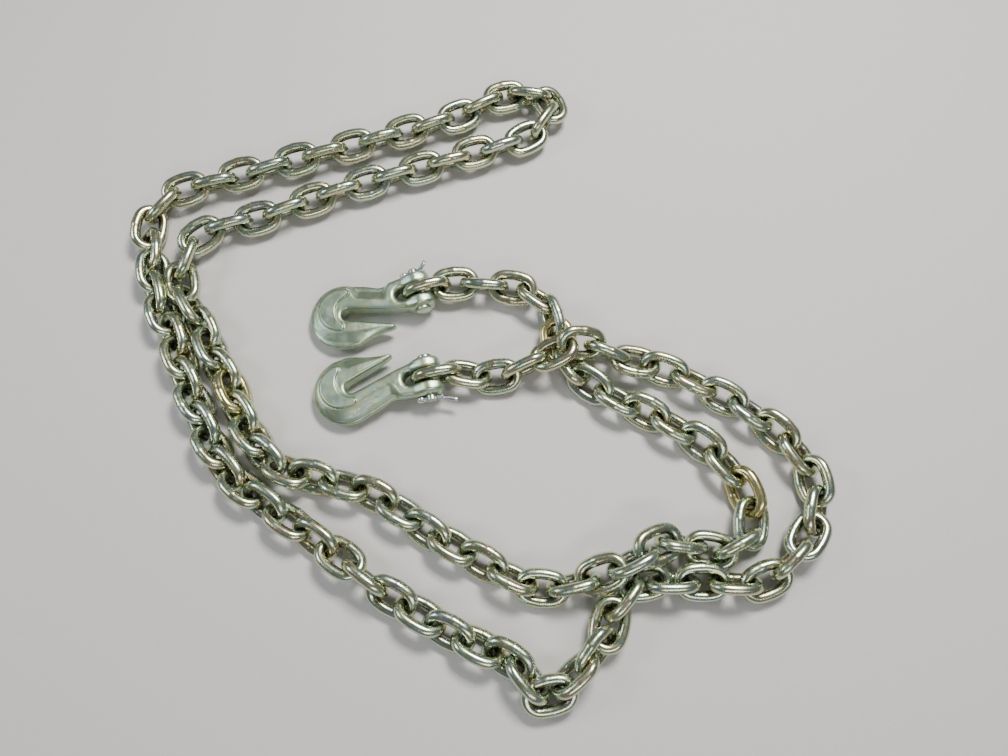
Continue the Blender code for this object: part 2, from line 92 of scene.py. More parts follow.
# Route of the links, counted from 0 in the first hook's clevis: link, x, y and height of
# its centre, and lean in degrees. Lean turns a link about the line of the chain from
# lying flat, and every odd link stands a quarter turn further round.
ROUTE = [
    (1, -42.5, 288.3, 12, 110), (3, 7, 284, 12, 110), (4, 30, 275, 12, 118),
    (5, 42, 256, 12, 150), (6, 47, 238, 10, 190), (7, 56, 217, 10, 210),
    (8, 71, 199, 12, 222), (10, 115, 174, 12, 225), (12, 159, 148, 12, 225),
    (13, 175, 131, 12, 225), (14, 190, 110, 12, 225), (15, 191, 85, 12, 262),
    (16, 179, 66, 13, 270), (17, 157, 66, 14, 255), (18, 135, 69, 20, 250),
    (19, 116, 66, 27, 250), (20, 96, 53, 27, 250), (21, 75, 46, 20, 250),
    (23, 29, 36, 12, 250), (25, -17, 56, 12, 228), (27, -60, 80, 12, 225),
    (29, -101, 106, 12, 225), (31, -151, 121, 12, 225), (32, -174, 127, 12, 222),
    (33, -191, 140, 12, 222), (34, -203, 156, 12, 225), (36, -224, 192, 12, 225),
    (38, -244, 228, 12, 235), (40, -265, 266, 12, 255), (41, -278, 289, 12, 275),
    (42, -277, 313, 12, 300), (43, -266, 335, 12, 290), (45, -218, 352, 12, 290),
    (47, -171, 372, 12, 290), (50, -100, 397, 12, 290), (53, -26, 420, 12, 290),
    (54, -2, 428, 12, 290), (55, 20, 438, 12, 285), (56, 38, 454, 12, 275),
    (57, 42, 474, 12, 265), (58, 24, 484, 12, 255), (59, 1, 483, 12, 250),
    (61, -41, 462, 12, 250), (64, -114, 436, 12, 250), (67, -189, 413, 12, 250),
    (70, -262, 389, 12, 250), (71, -287, 382, 12, 250), (72, -305, 365, 12, 248),
    (73, -313, 342, 12, 238), (74, -309, 320, 12, 228), (75, -304, 300, 13, 225),
    (76, -298, 281, 12, 225), (78, -279, 240, 12, 225), (80, -262, 202, 12, 225),
    (82, -243, 163, 12, 225), (84, -221, 129, 12, 225), (86, -189, 101, 12, 228),
    (88, -146, 73, 12, 230), (90, -104, 43, 12, 275), (91, -83, 29, 12, 305),
    (93, -41, 5, 12, 315), (95, 4, -16, 12, 315), (96, 18, -26, 12, 300),
    (97, 32, -39, 12, 280), (98, 48, -23, 15, 300), (99, 70, -11, 13, 330),
    (100, 79, 11, 12, 362), (101, 90, 31, 10, 372), (102, 105, 40, 9, 378),
    (103, 125, 39, 11, 380), (104, 148, 41, 12, 380), (106, 198, 41, 12, 378),
    (107, 218, 57, 12, 360), (108, 234, 75, 12, 340), (109, 242, 94, 12, 325),
    (110, 245, 117, 12, 318), (112, 218, 159, 12, 315), (114, 180, 187, 12, 315),
    (116, 133, 211, 13, 312), (117, 109, 218, 16, 285), (118, 85, 223, 23, 250),
    (119, 63, 228, 28, 220), (120, 41, 219, 27, 214), (121, 19, 213, 20, 184),
    (122, -3, 202, 13, 152), (123, -28.5, 205, 12, 135),
]
LINKS = 125
GOLDEN_LINKS = (6, 14, 36)
MEETING_DISTANCE = 52
PAIRS_EVERY = 50
HOOK_TINT = 0.2
PATCH_GAIN = 1.6
PATCH_SHIFT = -0.3
NOISE_LOW = 0.3
NOISE_HIGH = 0.7


def unit(v: np.ndarray) -> np.ndarray:
    """Vectors of the last axis, brought to length one."""
    return v / np.linalg.norm(v, axis=-1, keepdims=True)


def ramp(value: np.ndarray, low: float, high: float) -> np.ndarray:
    """Smooth step from 0 at low to 1 at high: t squared times (3 minus 2 t)."""
    t = np.clip((value - low) / (high - low), 0.0, 1.0)
    return t * t * (3 - 2 * t)


def smooth_union(a: np.ndarray, b: np.ndarray, fillet: float) -> np.ndarray:
    """Least of two distances, blended over a fillet: the least less h squared / (4 fillet)."""
    h = np.maximum(fillet - np.abs(a - b), 0.0)
    return np.minimum(a, b) - h * h / (4 * fillet)


def rounded_meet(a: np.ndarray, b: np.ndarray, radius: float | np.ndarray) -> np.ndarray:
    """Distance to where two sides meet in a quarter round of a radius.

    Both distances are taken to sides moved in by the radius. Outside both the result is
    the square root of (a squared plus b squared), less the radius.

    Args:
        a: Signed distances to one side.
        b: Signed distances to the other.
        radius: Radius of the round, one for all places or one for each.

    Returns:
        Signed distances to the body that both sides bound.
    """
    a, b = a + radius, b + radius
    return np.minimum(np.maximum(a, b), 0) + np.hypot(np.maximum(a, 0), np.maximum(b, 0)) - radius


def arc(centre: tuple[float, float], radius: float, first: float, last: float,
        steps: int) -> np.ndarray:
    """Points of a flat arc: centre plus radius times (cos, sin) of evenly stepped angles.

    Args:
        centre: Middle of the arc.
        radius: Its radius.
        first: First angle, in degrees.
        last: Last angle, in degrees.
        steps: Number of steps between them.

    Returns:
        Array of steps + 1 points.
    """
    a = np.radians(np.linspace(first, last, steps + 1))
    return np.column_stack((centre[0] + radius * np.cos(a), centre[1] + radius * np.sin(a)))


def rounded_corners(points: np.ndarray, times: int) -> np.ndarray:
    """Closed outline with its corners cut at a quarter and three quarters of each side.

    Args:
        points: Corners in order.
        times: How often the cut is repeated.

    Returns:
        The finer outline.
    """
    for _ in range(times):
        after = np.roll(points, -1, axis=0)
        points = np.stack((0.75 * points + 0.25 * after, 0.25 * points + 0.75 * after),
                          axis=1).reshape(-1, 2)
    return points


def outline_distance(x: np.ndarray, y: np.ndarray, outline: np.ndarray) -> np.ndarray:
    """Signed distance of flat points to a closed outline, negative inside.

    The distance is the least over the sides of the distance to the nearest point of the
    side. The sign turns each time a ray along X crosses a side.

    Args:
        x: First coordinates, of any shape.
        y: Second coordinates, of the same shape.
        outline: Corners in order.

    Returns:
        Distances, shaped like x.
    """
    flat = np.column_stack((x.ravel(), y.ravel()))
    best = np.full(len(flat), 1e9)
    inside = np.zeros(len(flat), bool)
    for start, end in zip(outline, np.roll(outline, -1, axis=0)):
        side = end - start
        reach = flat - start
        share = np.clip(reach @ side / max(side @ side, 1e-12), 0.0, 1.0)
        gap = reach - share[:, None] * side
        best = np.minimum(best, (gap * gap).sum(1))
        if start[1] != end[1]:
            spans = (start[1] > flat[:, 1]) != (end[1] > flat[:, 1])
            cross = start[0] + (flat[:, 1] - start[1]) * side[0] / side[1]
            inside ^= spans & (flat[:, 0] < cross)
    return (np.where(inside, -1.0, 1.0) * np.sqrt(best)).reshape(x.shape)


def grid_faces(rows: int, columns: int, closed: bool) -> np.ndarray:
    """Quads of a grid of points whose columns wrap round.

    Args:
        rows: Points along the path.
        columns: Points round the section.
        closed: Whether the last row joins the first.

    Returns:
        Array of quads of point numbers, row by row.
    """
    r = np.arange(rows if closed else rows - 1)[:, None]
    c = np.arange(columns)[None]
    after = (r + 1) % rows
    beside = (c + 1) % columns
    quads = np.stack(np.broadcast_arrays(r * columns + c, after * columns + c,
                                         after * columns + beside, r * columns + beside), axis=2)
    return quads.reshape(-1, 4)


def grid_axes(low: np.ndarray, high: np.ndarray, step: float) -> list[np.ndarray]:
    """Evenly stepped coordinates along each axis, from a low corner up to a high one."""
    return [np.arange(start, end, step) for start, end in zip(low, high)]


def surface_net(field: np.ndarray, origin: np.ndarray,
                step: float) -> tuple[np.ndarray, np.ndarray]:
    """Closed quads on the zero level of a field sampled on a grid.

    A cell whose corners differ in sign holds one point, the mean of the places where the
    field is zero on the cell's edges. Each edge of the grid that the level crosses joins
    the points of the four cells round it by a quad, which faces out of the negative side.

    Args:
        field: Values at the grid's points, negative inside.
        origin: Place of the first grid point.
        step: Distance between grid points.

    Returns:
        Points and quads.
    """
    inside = field < 0
    cells = np.array(field.shape) - 1
    total = np.zeros((*cells, 3), np.float32)
    count = np.zeros(cells, np.int32)
    quads = []
    for axis in range(3):
        others = ((axis + 1) % 3, (axis + 2) % 3)
        low = [slice(None)] * 3
        high = [slice(None)] * 3
        low[axis] = slice(None, -1)
        high[axis] = slice(1, None)
        first, last = field[tuple(low)], field[tuple(high)]
        crossed = inside[tuple(low)] != inside[tuple(high)]
        at = np.where(crossed, first / np.where(crossed, first - last, 1.0), 0.0)
        for shift in ((0, 0), (1, 0), (0, 1), (1, 1)):
            part = [slice(None)] * 3
            for other, one in zip(others, shift):
                part[other] = slice(one, one + cells[other])
            here = crossed[tuple(part)]
            count += here
            total[..., axis] += at[tuple(part)]
            for other, one in zip(others, shift):
                total[..., other] += one * here
        edge = np.argwhere(crossed)
        edge = edge[np.all([(edge[:, o] > 0) & (edge[:, o] < cells[o]) for o in others], axis=0)]
        ring = []
        for shift in ((-1, -1), (0, -1), (0, 0), (-1, 0)):
            corner = edge.copy()
            for other, one in zip(others, shift):
                corner[:, other] += one
            ring.append(np.ravel_multi_index(corner.T, cells))
        ring = np.stack(ring, axis=1)
        solid_first = inside[tuple(edge.T)]
        quads.append(np.where(solid_first[:, None], ring, ring[:, ::-1]))
    used = np.flatnonzero(count.ravel())
    number = np.full(count.size, -1)
    number[used] = np.arange(len(used))
    place = np.column_stack(np.unravel_index(used, cells))
    points = origin + step * (place + total.reshape(-1, 3)[used] / count.ravel()[used, None])
    return points, number[np.vstack(quads)]


def drawn_on(points: np.ndarray, depth: Callable[[np.ndarray], np.ndarray], probe: float,
             limit: float) -> np.ndarray:
    """Points moved twice along the slope of a distance, onto its zero level.

    Each move is minus the distance times its slope, over the slope squared.

    Args:
        points: Points near the level.
        depth: Signed distance of points.
        probe: Length over which the slope is measured.
        limit: Longest move.

    Returns:
        The moved points.
    """
    for _ in range(2):
        here = depth(points)
        slope = np.stack([(depth(points + probe * np.eye(3)[k]) - here) / probe
                          for k in range(3)], axis=1)
        size = np.maximum((slope**2).sum(1), 0.3)
        points = points - np.clip(here / size, -limit, limit)[:, None] * slope
    return points


def swept_tube(path: np.ndarray, radii: np.ndarray, sides: int) -> tuple[np.ndarray, np.ndarray]:
    """Oval wire along an open path, closed at both ends.

    Each section is the path's point plus r cos v and s sin v in a frame square to the
    path, carried from point to point with the least turning. Each end is filled by quads
    that share a middle point.

    Args:
        path: Points of the centre line.
        radii: Both radii r and s of the oval at each of them.
        sides: Points round a section, an even number.

    Returns:
        Points and quads.
    """
    along = unit(np.gradient(path, axis=0))
    across = np.zeros_like(path)
    across[0] = unit(np.cross(along[0], (0.0, 0.0, 1.0)))
    for k in range(1, len(path)):
        carried = across[k - 1] - (across[k - 1] @ along[k]) * along[k]
        across[k] = unit(carried)
    third = np.cross(along, across)
    v = np.linspace(0, 2 * np.pi, sides, endpoint=False)
    ring = ((radii[:, :1] * np.cos(v))[..., None] * across[:, None]
            + (radii[:, 1:] * np.sin(v))[..., None] * third[:, None])
    points = np.vstack(((path[:, None] + ring).reshape(-1, 3), path[:1], path[-1:]))
    first = len(path) * sides
    even = np.arange(0, sides, 2)
    odd, after = even + 1, (even + 2) % sides
    back = np.column_stack((np.full(len(even), first), after, odd, even))
    last = (len(path) - 1) * sides
    front = np.column_stack((np.full(len(even), first + 1), last + even, last + odd, last + after))
    return points, np.vstack((grid_faces(len(path), sides, False)[:, ::-1], back, front))


def new_piece(name: str, points: np.ndarray, faces: np.ndarray,
              materials: list[bpy.types.Material], picks: np.ndarray | None = None,
              values: dict[str, np.ndarray] | None = None) -> bpy.types.Object:
    """Mesh object at the origin from arrays, with smooth faces.

    Args:
        name: Name of the piece.
        points: Its points, in millimetres in the route's frame.
        faces: Its quads.
        materials: Finishes of its material slots.
        picks: Slot of each face, or none for the first.
        values: Named number per point, for the finish to read.

    Returns:
        The object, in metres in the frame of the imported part.
    """
    mesh = bpy.data.meshes.new(name)
    mesh.vertices.add(len(points))
    mesh.vertices.foreach_set("co", ((points + ROUTE_TO_FLOOR) * MM).astype(np.float32).ravel())
    mesh.loops.add(faces.size)
    mesh.loops.foreach_set("vertex_index", faces.astype(np.int32).ravel())
    mesh.polygons.add(len(faces))
    mesh.polygons.foreach_set("loop_start", np.arange(0, faces.size, 4, dtype=np.int32))
    mesh.update(calc_edges=True)
    for material in materials:
        mesh.materials.append(material)
    if picks is not None:
        mesh.polygons.foreach_set("material_index", picks.astype(np.int32))
    for key, value in (values or {}).items():
        attribute = mesh.attributes.new(key, "FLOAT", "POINT")
        attribute.data.foreach_set("value", value.astype(np.float32))
    mesh.validate()
    mesh.shade_smooth()
    piece = bpy.data.objects.new(name, mesh)
    bpy.context.scene.collection.objects.link(piece)
    return piece


def hand_over(piece: bpy.types.Object, body: Body, slot: Slot, *nodes: str) -> None:
    """Put a finished piece in the place of CAD nodes, on their body.

    Args:
        piece: The finished piece.
        body: Body that it rides on.
        slot: Slot that its finish stands for; not used.
        nodes: CAD nodes that it replaces.
    """
    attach(piece, body.value)
    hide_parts(*nodes)
    LOG.info("%s: %d faces on body %s, in place of %s", piece.name,
             len(piece.data.polygons), body.value, ", ".join(nodes))


class Nodes:
    """Shader nodes of one tree, placed and joined by short calls."""

    def __init__(self, tree: bpy.types.NodeTree) -> None:
        """Keep the tree that the nodes go into."""
        self.tree = tree

    def put(self, kind: str, **settings: object) -> bpy.types.Node:
        """Add a node and set its plain properties.

        Args:
            kind: Blender's name for the node's type.
            settings: Properties of the node, and inputs by name under "at".

        Returns:
            The new node.
        """
        node = self.tree.nodes.new(kind)
        inputs = settings.pop("at", {})
        for key, value in settings.items():
            setattr(node, key, value)
        for key, value in inputs.items():
            node.inputs[key].default_value = value
        return node

    def join(self, source: object, target: bpy.types.NodeSocket) -> None:
        """Link a socket to another, or set the other to a number or colour.

        Args:
            source: Socket, number or colour, or none to leave the other as it is.
            target: Input that it goes to.
        """
        if isinstance(source, bpy.types.NodeSocket):
            self.tree.links.new(source, target)
        elif isinstance(source, tuple):
            target.default_value = (*source, 1.0)
        elif source is not None:
            target.default_value = source

    def noise(self, vector: bpy.types.NodeSocket, scale: float, detail: float,
              rough: float = 0.5, bend: float = 0.0) -> bpy.types.NodeSocket:
        """Noise texture's value on a vector.

        Args:
            vector: Where it is read.
            scale: Waves per metre.
            detail: Octaves.
            rough: Strength of the finer octaves.
            bend: Distortion.

        Returns:
            The Fac output.
        """
        node = self.put("ShaderNodeTexNoise", at={"Scale": scale, "Detail": detail,
                                                  "Roughness": rough, "Distortion": bend})
        self.join(vector, node.inputs["Vector"])
        return node.outputs["Fac"]

    def math(self, operation: str, a: object, b: object = None,
             clamp: bool = False) -> bpy.types.NodeSocket:
        """Math node on sockets or numbers.

        Args:
            operation: Blender's name of the operation.
            a: First socket or number.
            b: Second socket or number.
            clamp: Whether the result is kept from 0 to 1.

        Returns:
            The Value output.
        """
        node = self.put("ShaderNodeMath", operation=operation, use_clamp=clamp)
        self.join(a, node.inputs[0])
        self.join(b, node.inputs[1])
        return node.outputs["Value"]

    def mix(self, share: object, a: object, b: object,
            blend: str = "MIX") -> bpy.types.NodeSocket:
        """Colour mix of sockets or colours.

        Args:
            share: Socket or number of the second colour's share.
            a: First socket or colour.
            b: Second socket or colour.
            blend: Blend type.

        Returns:
            The Result output.
        """
        node = self.put("ShaderNodeMix", data_type="RGBA", blend_type=blend)
        for number, value in zip((0, 6, 7), (share, a, b)):
            self.join(value, node.inputs[number])
        return node.outputs[2]

    def colours(self, value: bpy.types.NodeSocket,
                stops: list[tuple[float, tuple[float, float, float]]]) -> bpy.types.NodeSocket:
        """Colour ramp.

        Args:
            value: What it is read by.
            stops: Places from 0 to 1 and their colours.

        Returns:
            The Color output.
        """
        node = self.put("ShaderNodeValToRGB")
        node.color_ramp.interpolation = "B_SPLINE"
        elements = node.color_ramp.elements
        while len(elements) < len(stops):
            elements.new(0.5)
        for element, (place, colour) in zip(elements, stops):
            element.position = place
            element.color = (*colour, 1.0)
        self.join(value, node.inputs["Fac"])
        return node.outputs["Color"]


def new_group(name: str, inputs: dict[str, str],
              outputs: dict[str, str]) -> tuple[bpy.types.NodeTree, Nodes,
                                                bpy.types.Node, bpy.types.Node]:
    """Empty shader node group with named sockets.

    Args:
        name: The group's name.
        inputs: Socket types by name.
        outputs: Socket types by name.

    Returns:
        The group, its node maker, its input node and its output node.
    """
    group = bpy.data.node_groups.new(name, "ShaderNodeTree")
    for key, kind in inputs.items():
        group.interface.new_socket(key, in_out="INPUT", socket_type=kind)
    for key, kind in outputs.items():
        group.interface.new_socket(key, in_out="OUTPUT", socket_type=kind)
    nodes = Nodes(group)
    return group, nodes, nodes.put("NodeGroupInput"), nodes.put("NodeGroupOutput")


FLOAT = "NodeSocketFloat"
COLOUR = "NodeSocketColor"
VECTOR = "NodeSocketVector"


def film_group() -> bpy.types.NodeTree:
    """Thin chromate film whose hue drifts with its thickness from gold to green, blue and rose.

    Returns:
        Group with Color out.
    """
    group, nodes, start, end = new_group(
        "chromate_film",
        {"Vector": VECTOR, "Base": COLOUR, "Film": FLOAT, "Tint": FLOAT},
        {"Color": COLOUR})
    vector = start.outputs["Vector"]
    thickness = nodes.noise(vector, 110.0, 3.0, 0.6, 0.8)
    thickness = nodes.math("ADD", thickness, nodes.math("MULTIPLY", start.outputs["Tint"], 0.07))
    hues = nodes.colours(thickness, [
        (0.28, (0.70, 0.52, 0.46)),
        (0.38, (0.68, 0.60, 0.32)),
        (0.46, (0.54, 0.64, 0.34)),
        (0.53, (0.38, 0.62, 0.42)),
        (0.61, (0.42, 0.62, 0.60)),
        (0.70, (0.64, 0.56, 0.64)),
    ])
    mixed = nodes.mix(start.outputs["Film"], start.outputs["Base"], hues)
    nodes.join(mixed, end.inputs["Color"])
    return group


def grain_group() -> bpy.types.NodeTree:
    """Fine drawn and plated surface: shallow waves, dimples and streaks of dull coat.

    Returns:
        Group with Height and Rough out, both about 0 to 1.
    """
    group, nodes, start, end = new_group(
        "plated_grain", {"Vector": VECTOR, "Size": FLOAT}, {"Height": FLOAT, "Rough": FLOAT})
    scaled = nodes.put("ShaderNodeVectorMath", operation="SCALE")
    nodes.join(start.outputs["Vector"], scaled.inputs[0])
    nodes.join(start.outputs["Size"], scaled.inputs["Scale"])
    vector = scaled.outputs["Vector"]
    waves = nodes.noise(vector, 260.0, 3.0, 0.6)
    fine = nodes.noise(vector, 1500.0, 4.0, 0.6)
    height = nodes.math("ADD", nodes.math("MULTIPLY", waves, 0.75),
                        nodes.math("MULTIPLY", fine, 0.25))
    dull = nodes.noise(vector, 170.0, 4.0, 0.65, 0.3)
    nodes.join(height, end.inputs["Height"])
    nodes.join(dull, end.inputs["Rough"])
    return group


@dataclass(frozen=True)
class ChromateFinish:
    """Yellow chromate over zinc, with its film and grain, and painted shade that darkens the coat
    in hollows and on undersides.
    """

    name: str
    base: tuple[float, float, float]
    # Colour that the painted shade darkens the coat towards.
    shade_colour: tuple[float, float, float]
    film: float
    gloss: tuple[float, float]
    grain_size: float
    grain_depth: float
    # How strongly the painted shade mask darkens this coat.
    painted_shade: float = 0.0
    metallic: float = 1.0

    def build(self, film: bpy.types.NodeTree, grain: bpy.types.NodeTree) -> bpy.types.Material:
        """Make the material.

        Args:
            film: Group that drifts the coat's hue.
            grain: Group of the fine surface.

        Returns:
            The material.
        """
        material = bpy.data.materials.new(self.name)
        material.use_nodes = True
        nodes = Nodes(material.node_tree)
        shader = material.node_tree.nodes["Principled BSDF"]
        shader.inputs["Metallic"].default_value = self.metallic
        place = nodes.put("ShaderNodeTexCoord").outputs["Object"]
        tint = nodes.put("ShaderNodeAttribute", attribute_name="tint").outputs["Fac"]
        # Per-point mask of painted shade, made with each mesh.
        painted_shade = nodes.put("ShaderNodeAttribute", attribute_name="painted_shade").outputs["Fac"]
        coat = nodes.put("ShaderNodeGroup", node_tree=film,
                         at={"Base": (*self.base, 1.0), "Film": self.film})
        nodes.join(place, coat.inputs["Vector"])
        nodes.join(tint, coat.inputs["Tint"])
        surface = nodes.put("ShaderNodeGroup", node_tree=grain, at={"Size": self.grain_size})
        nodes.join(place, surface.inputs["Vector"])
        patchy = nodes.math("MULTIPLY_ADD", surface.outputs["Rough"], PATCH_GAIN)
        patchy.node.inputs[2].default_value = PATCH_SHIFT
        # Painted shade: the coat is mixed towards the shade colour by the mask, broken up by the
        # dull patches.
        shade = nodes.math("MULTIPLY", nodes.math("MULTIPLY", painted_shade, patchy), self.painted_shade,
                           clamp=True)
        colour = nodes.mix(shade, coat.outputs["Color"], self.shade_colour)
        nodes.join(colour, shader.inputs["Base Color"])
        low, high = self.gloss
        rough = nodes.put("ShaderNodeMapRange", at={"From Min": NOISE_LOW, "From Max": NOISE_HIGH,
                                                    "To Min": low, "To Max": high})
        nodes.join(surface.outputs["Rough"], rough.inputs["Value"])
        nodes.join(rough.outputs["Result"], shader.inputs["Roughness"])
        bump = nodes.put("ShaderNodeBump", at={"Strength": 1.0, "Distance": self.grain_depth})
        nodes.join(surface.outputs["Height"], bump.inputs["Height"])
        nodes.join(bump.outputs["Normal"], shader.inputs["Normal"])
        return material


# Each finish: base colour, painted shade colour, film share, gloss range, grain size and depth,
# and strength of the painted shade.
CHAIN_FINISH = ChromateFinish("chain coat", (0.58, 0.57, 0.42), (0.055, 0.04, 0.02), 0.5,
                              (0.19, 0.33), 1.0, 0.00012, 1.1)
GOLDEN_FINISH = ChromateFinish("golden link coat", (0.74, 0.62, 0.28), (0.09, 0.06, 0.02), 0.25,
                               (0.18, 0.30), 1.0, 0.00012, 0.9)
HOOK_FINISH = ChromateFinish("hook coat", (0.51, 0.61, 0.45), (0.05, 0.04, 0.025), 0.38,
                             (0.28, 0.44), 0.8, 0.0004, 1.0)
PIN_FINISH = ChromateFinish("pin coat", (0.42, 0.48, 0.42), (0.10, 0.11, 0.08), 0.35,
                            (0.22, 0.38), 1.2, 0.0002, 0.5)
COTTER_FINISH = ChromateFinish("cotter zinc", (0.70, 0.72, 0.74), (0.2, 0.2, 0.2), 0.05,
                               (0.20, 0.34), 1.5, 0.0001, 0.3)


@dataclass
class Settling:
    """Links moved a little at a time until none is too near another or has come apart."""

    path: np.ndarray
    node_of: np.ndarray
    joined: float
    clear: float
    low: np.ndarray
    high: np.ndarray
    spread: float
    steps: int
    sink: float
    sink_until: float = 0.85
    haste: float = 1.6
    homeward: float = 0.03
    least_ease: float = 0.5

    def near_pairs(self, centres: np.ndarray) -> tuple[np.ndarray, np.ndarray, np.ndarray]:
        """Pairs of links close enough to meet, with the least distance each pair keeps.

        Args:
            centres: Centres of the links.

        Returns:
            First link, second link and least distance of each pair.
        """
        gap = np.linalg.norm(centres[:, None] - centres[None], axis=2)
        i, j = np.triu_indices(LINKS, 1)
        near = (j == i + 1) | (gap[i, j] < MEETING_DISTANCE)
        first, second = i[near], j[near]
        one_node = (second == first + 1) & (self.node_of[first] == self.node_of[second])
        return first, second, np.where(one_node, self.joined, self.clear)

    def run(self, centres: np.ndarray, frames: np.ndarray) -> tuple[np.ndarray, np.ndarray]:
        """Settle all links but the first and the last.

        Each step finds the sample points of near links that are closer than the wires
        allow, or the closest ones of neighbours that have come apart, and moves and turns
        both links by the lack, shared by how easily each gives at that point. Points
        below the floor or beyond a wall are moved back, and a weak pull keeps the first
        pose.

        Args:
            centres: Centres of the links.
            frames: Their frames, with columns along, across and square to both.

        Returns:
            Settled centres and frames.
        """
        centres = centres.copy()
        wanted, wanted_frames = centres.copy(), frames.copy()
        free = np.ones((LINKS, 1))
        free[[0, -1]] = 0.0
        samples = np.arange(len(self.path))[None]
        reach = self.spread**2
        for step in range(self.steps):
            if step % PAIRS_EVERY == 0:
                first, second, least = self.near_pairs(centres)
                beside = second == first + 1
                rows = np.arange(len(first))[:, None]
            calm = step / self.steps
            points = centres[:, None] + self.path @ frames.transpose(0, 2, 1)
            shift = np.zeros((LINKS, 3))
            spin = np.zeros((LINKS, 3))
            weight = np.zeros(LINKS)
            between = points[first][:, :, None] - points[second][:, None]
            far = np.sqrt((between**2).sum(3))
            for axis in (1, 2):
                nearest = far.argmin(axis=3 - axis)
                own, other = (samples, nearest) if axis == 1 else (nearest, samples)
                own, other = np.broadcast_arrays(own, other)
                dist, line = far[rows, own, other], between[rows, own, other]
                lack = least[:, None] - dist
                pressed = lack > 0
                closest = dist.argmin(axis=1)
                apart = beside & (dist.min(axis=1) > least)
                pressed[apart, closest[apart]] = True
                pair, column = np.nonzero(pressed)
                a, b = first[pair], second[pair]
                normal = unit(line[pair, column])
                arm_a = points[a, own[pair, column]] - centres[a]
                arm_b = points[b, other[pair, column]] - centres[b]
                ease_a = free[a, 0] * (1 + (np.cross(arm_a, normal)**2).sum(1) / reach)
                ease_b = free[b, 0] * (1 + (np.cross(arm_b, normal)**2).sum(1) / reach)
                size = lack[pair, column] / np.maximum(ease_a + ease_b, self.least_ease)
                push = size[:, None] * normal
                for links, arms, way in ((a, arm_a, push), (b, arm_b, -push)):
                    np.add.at(shift, links, way)
                    np.add.at(spin, links, np.cross(arms, way) / reach)
                    np.add.at(weight, links, 1.0)
            back = np.maximum(self.low - points, 0) - np.maximum(points - self.high, 0)
            link, sample = np.nonzero(back.any(axis=2))
            arm = points[link, sample] - centres[link]
            lift = back[link, sample]
            lift = lift / (1 + (np.cross(arm, unit(lift))**2).sum(1) / reach)[:, None]
            np.add.at(shift, link, lift)
            np.add.at(spin, link, np.cross(arm, lift) / reach)
            np.add.at(weight, link, 1.0)
            scale = self.haste / np.maximum(weight, self.haste)[:, None]
            pull = self.homeward * (1 - calm)
            centres += free * (scale * shift)
            centres[:, :2] += pull * free * (wanted - centres)[:, :2]
            centres[:, 2] -= self.sink * max(0.0, self.sink_until - calm) * free[:, 0]
            back = 0.5 * np.cross(frames, wanted_frames, axis=1).sum(2)
            turn = free * (scale * spin + pull * back)
            moved = frames + np.cross(turn[:, :, None], frames, axis=1)
            x = unit(moved[:, :, 0])
            z = unit(np.cross(x, moved[:, :, 1]))
            frames = np.stack((x, np.cross(z, x), z), axis=2)
        return centres, frames


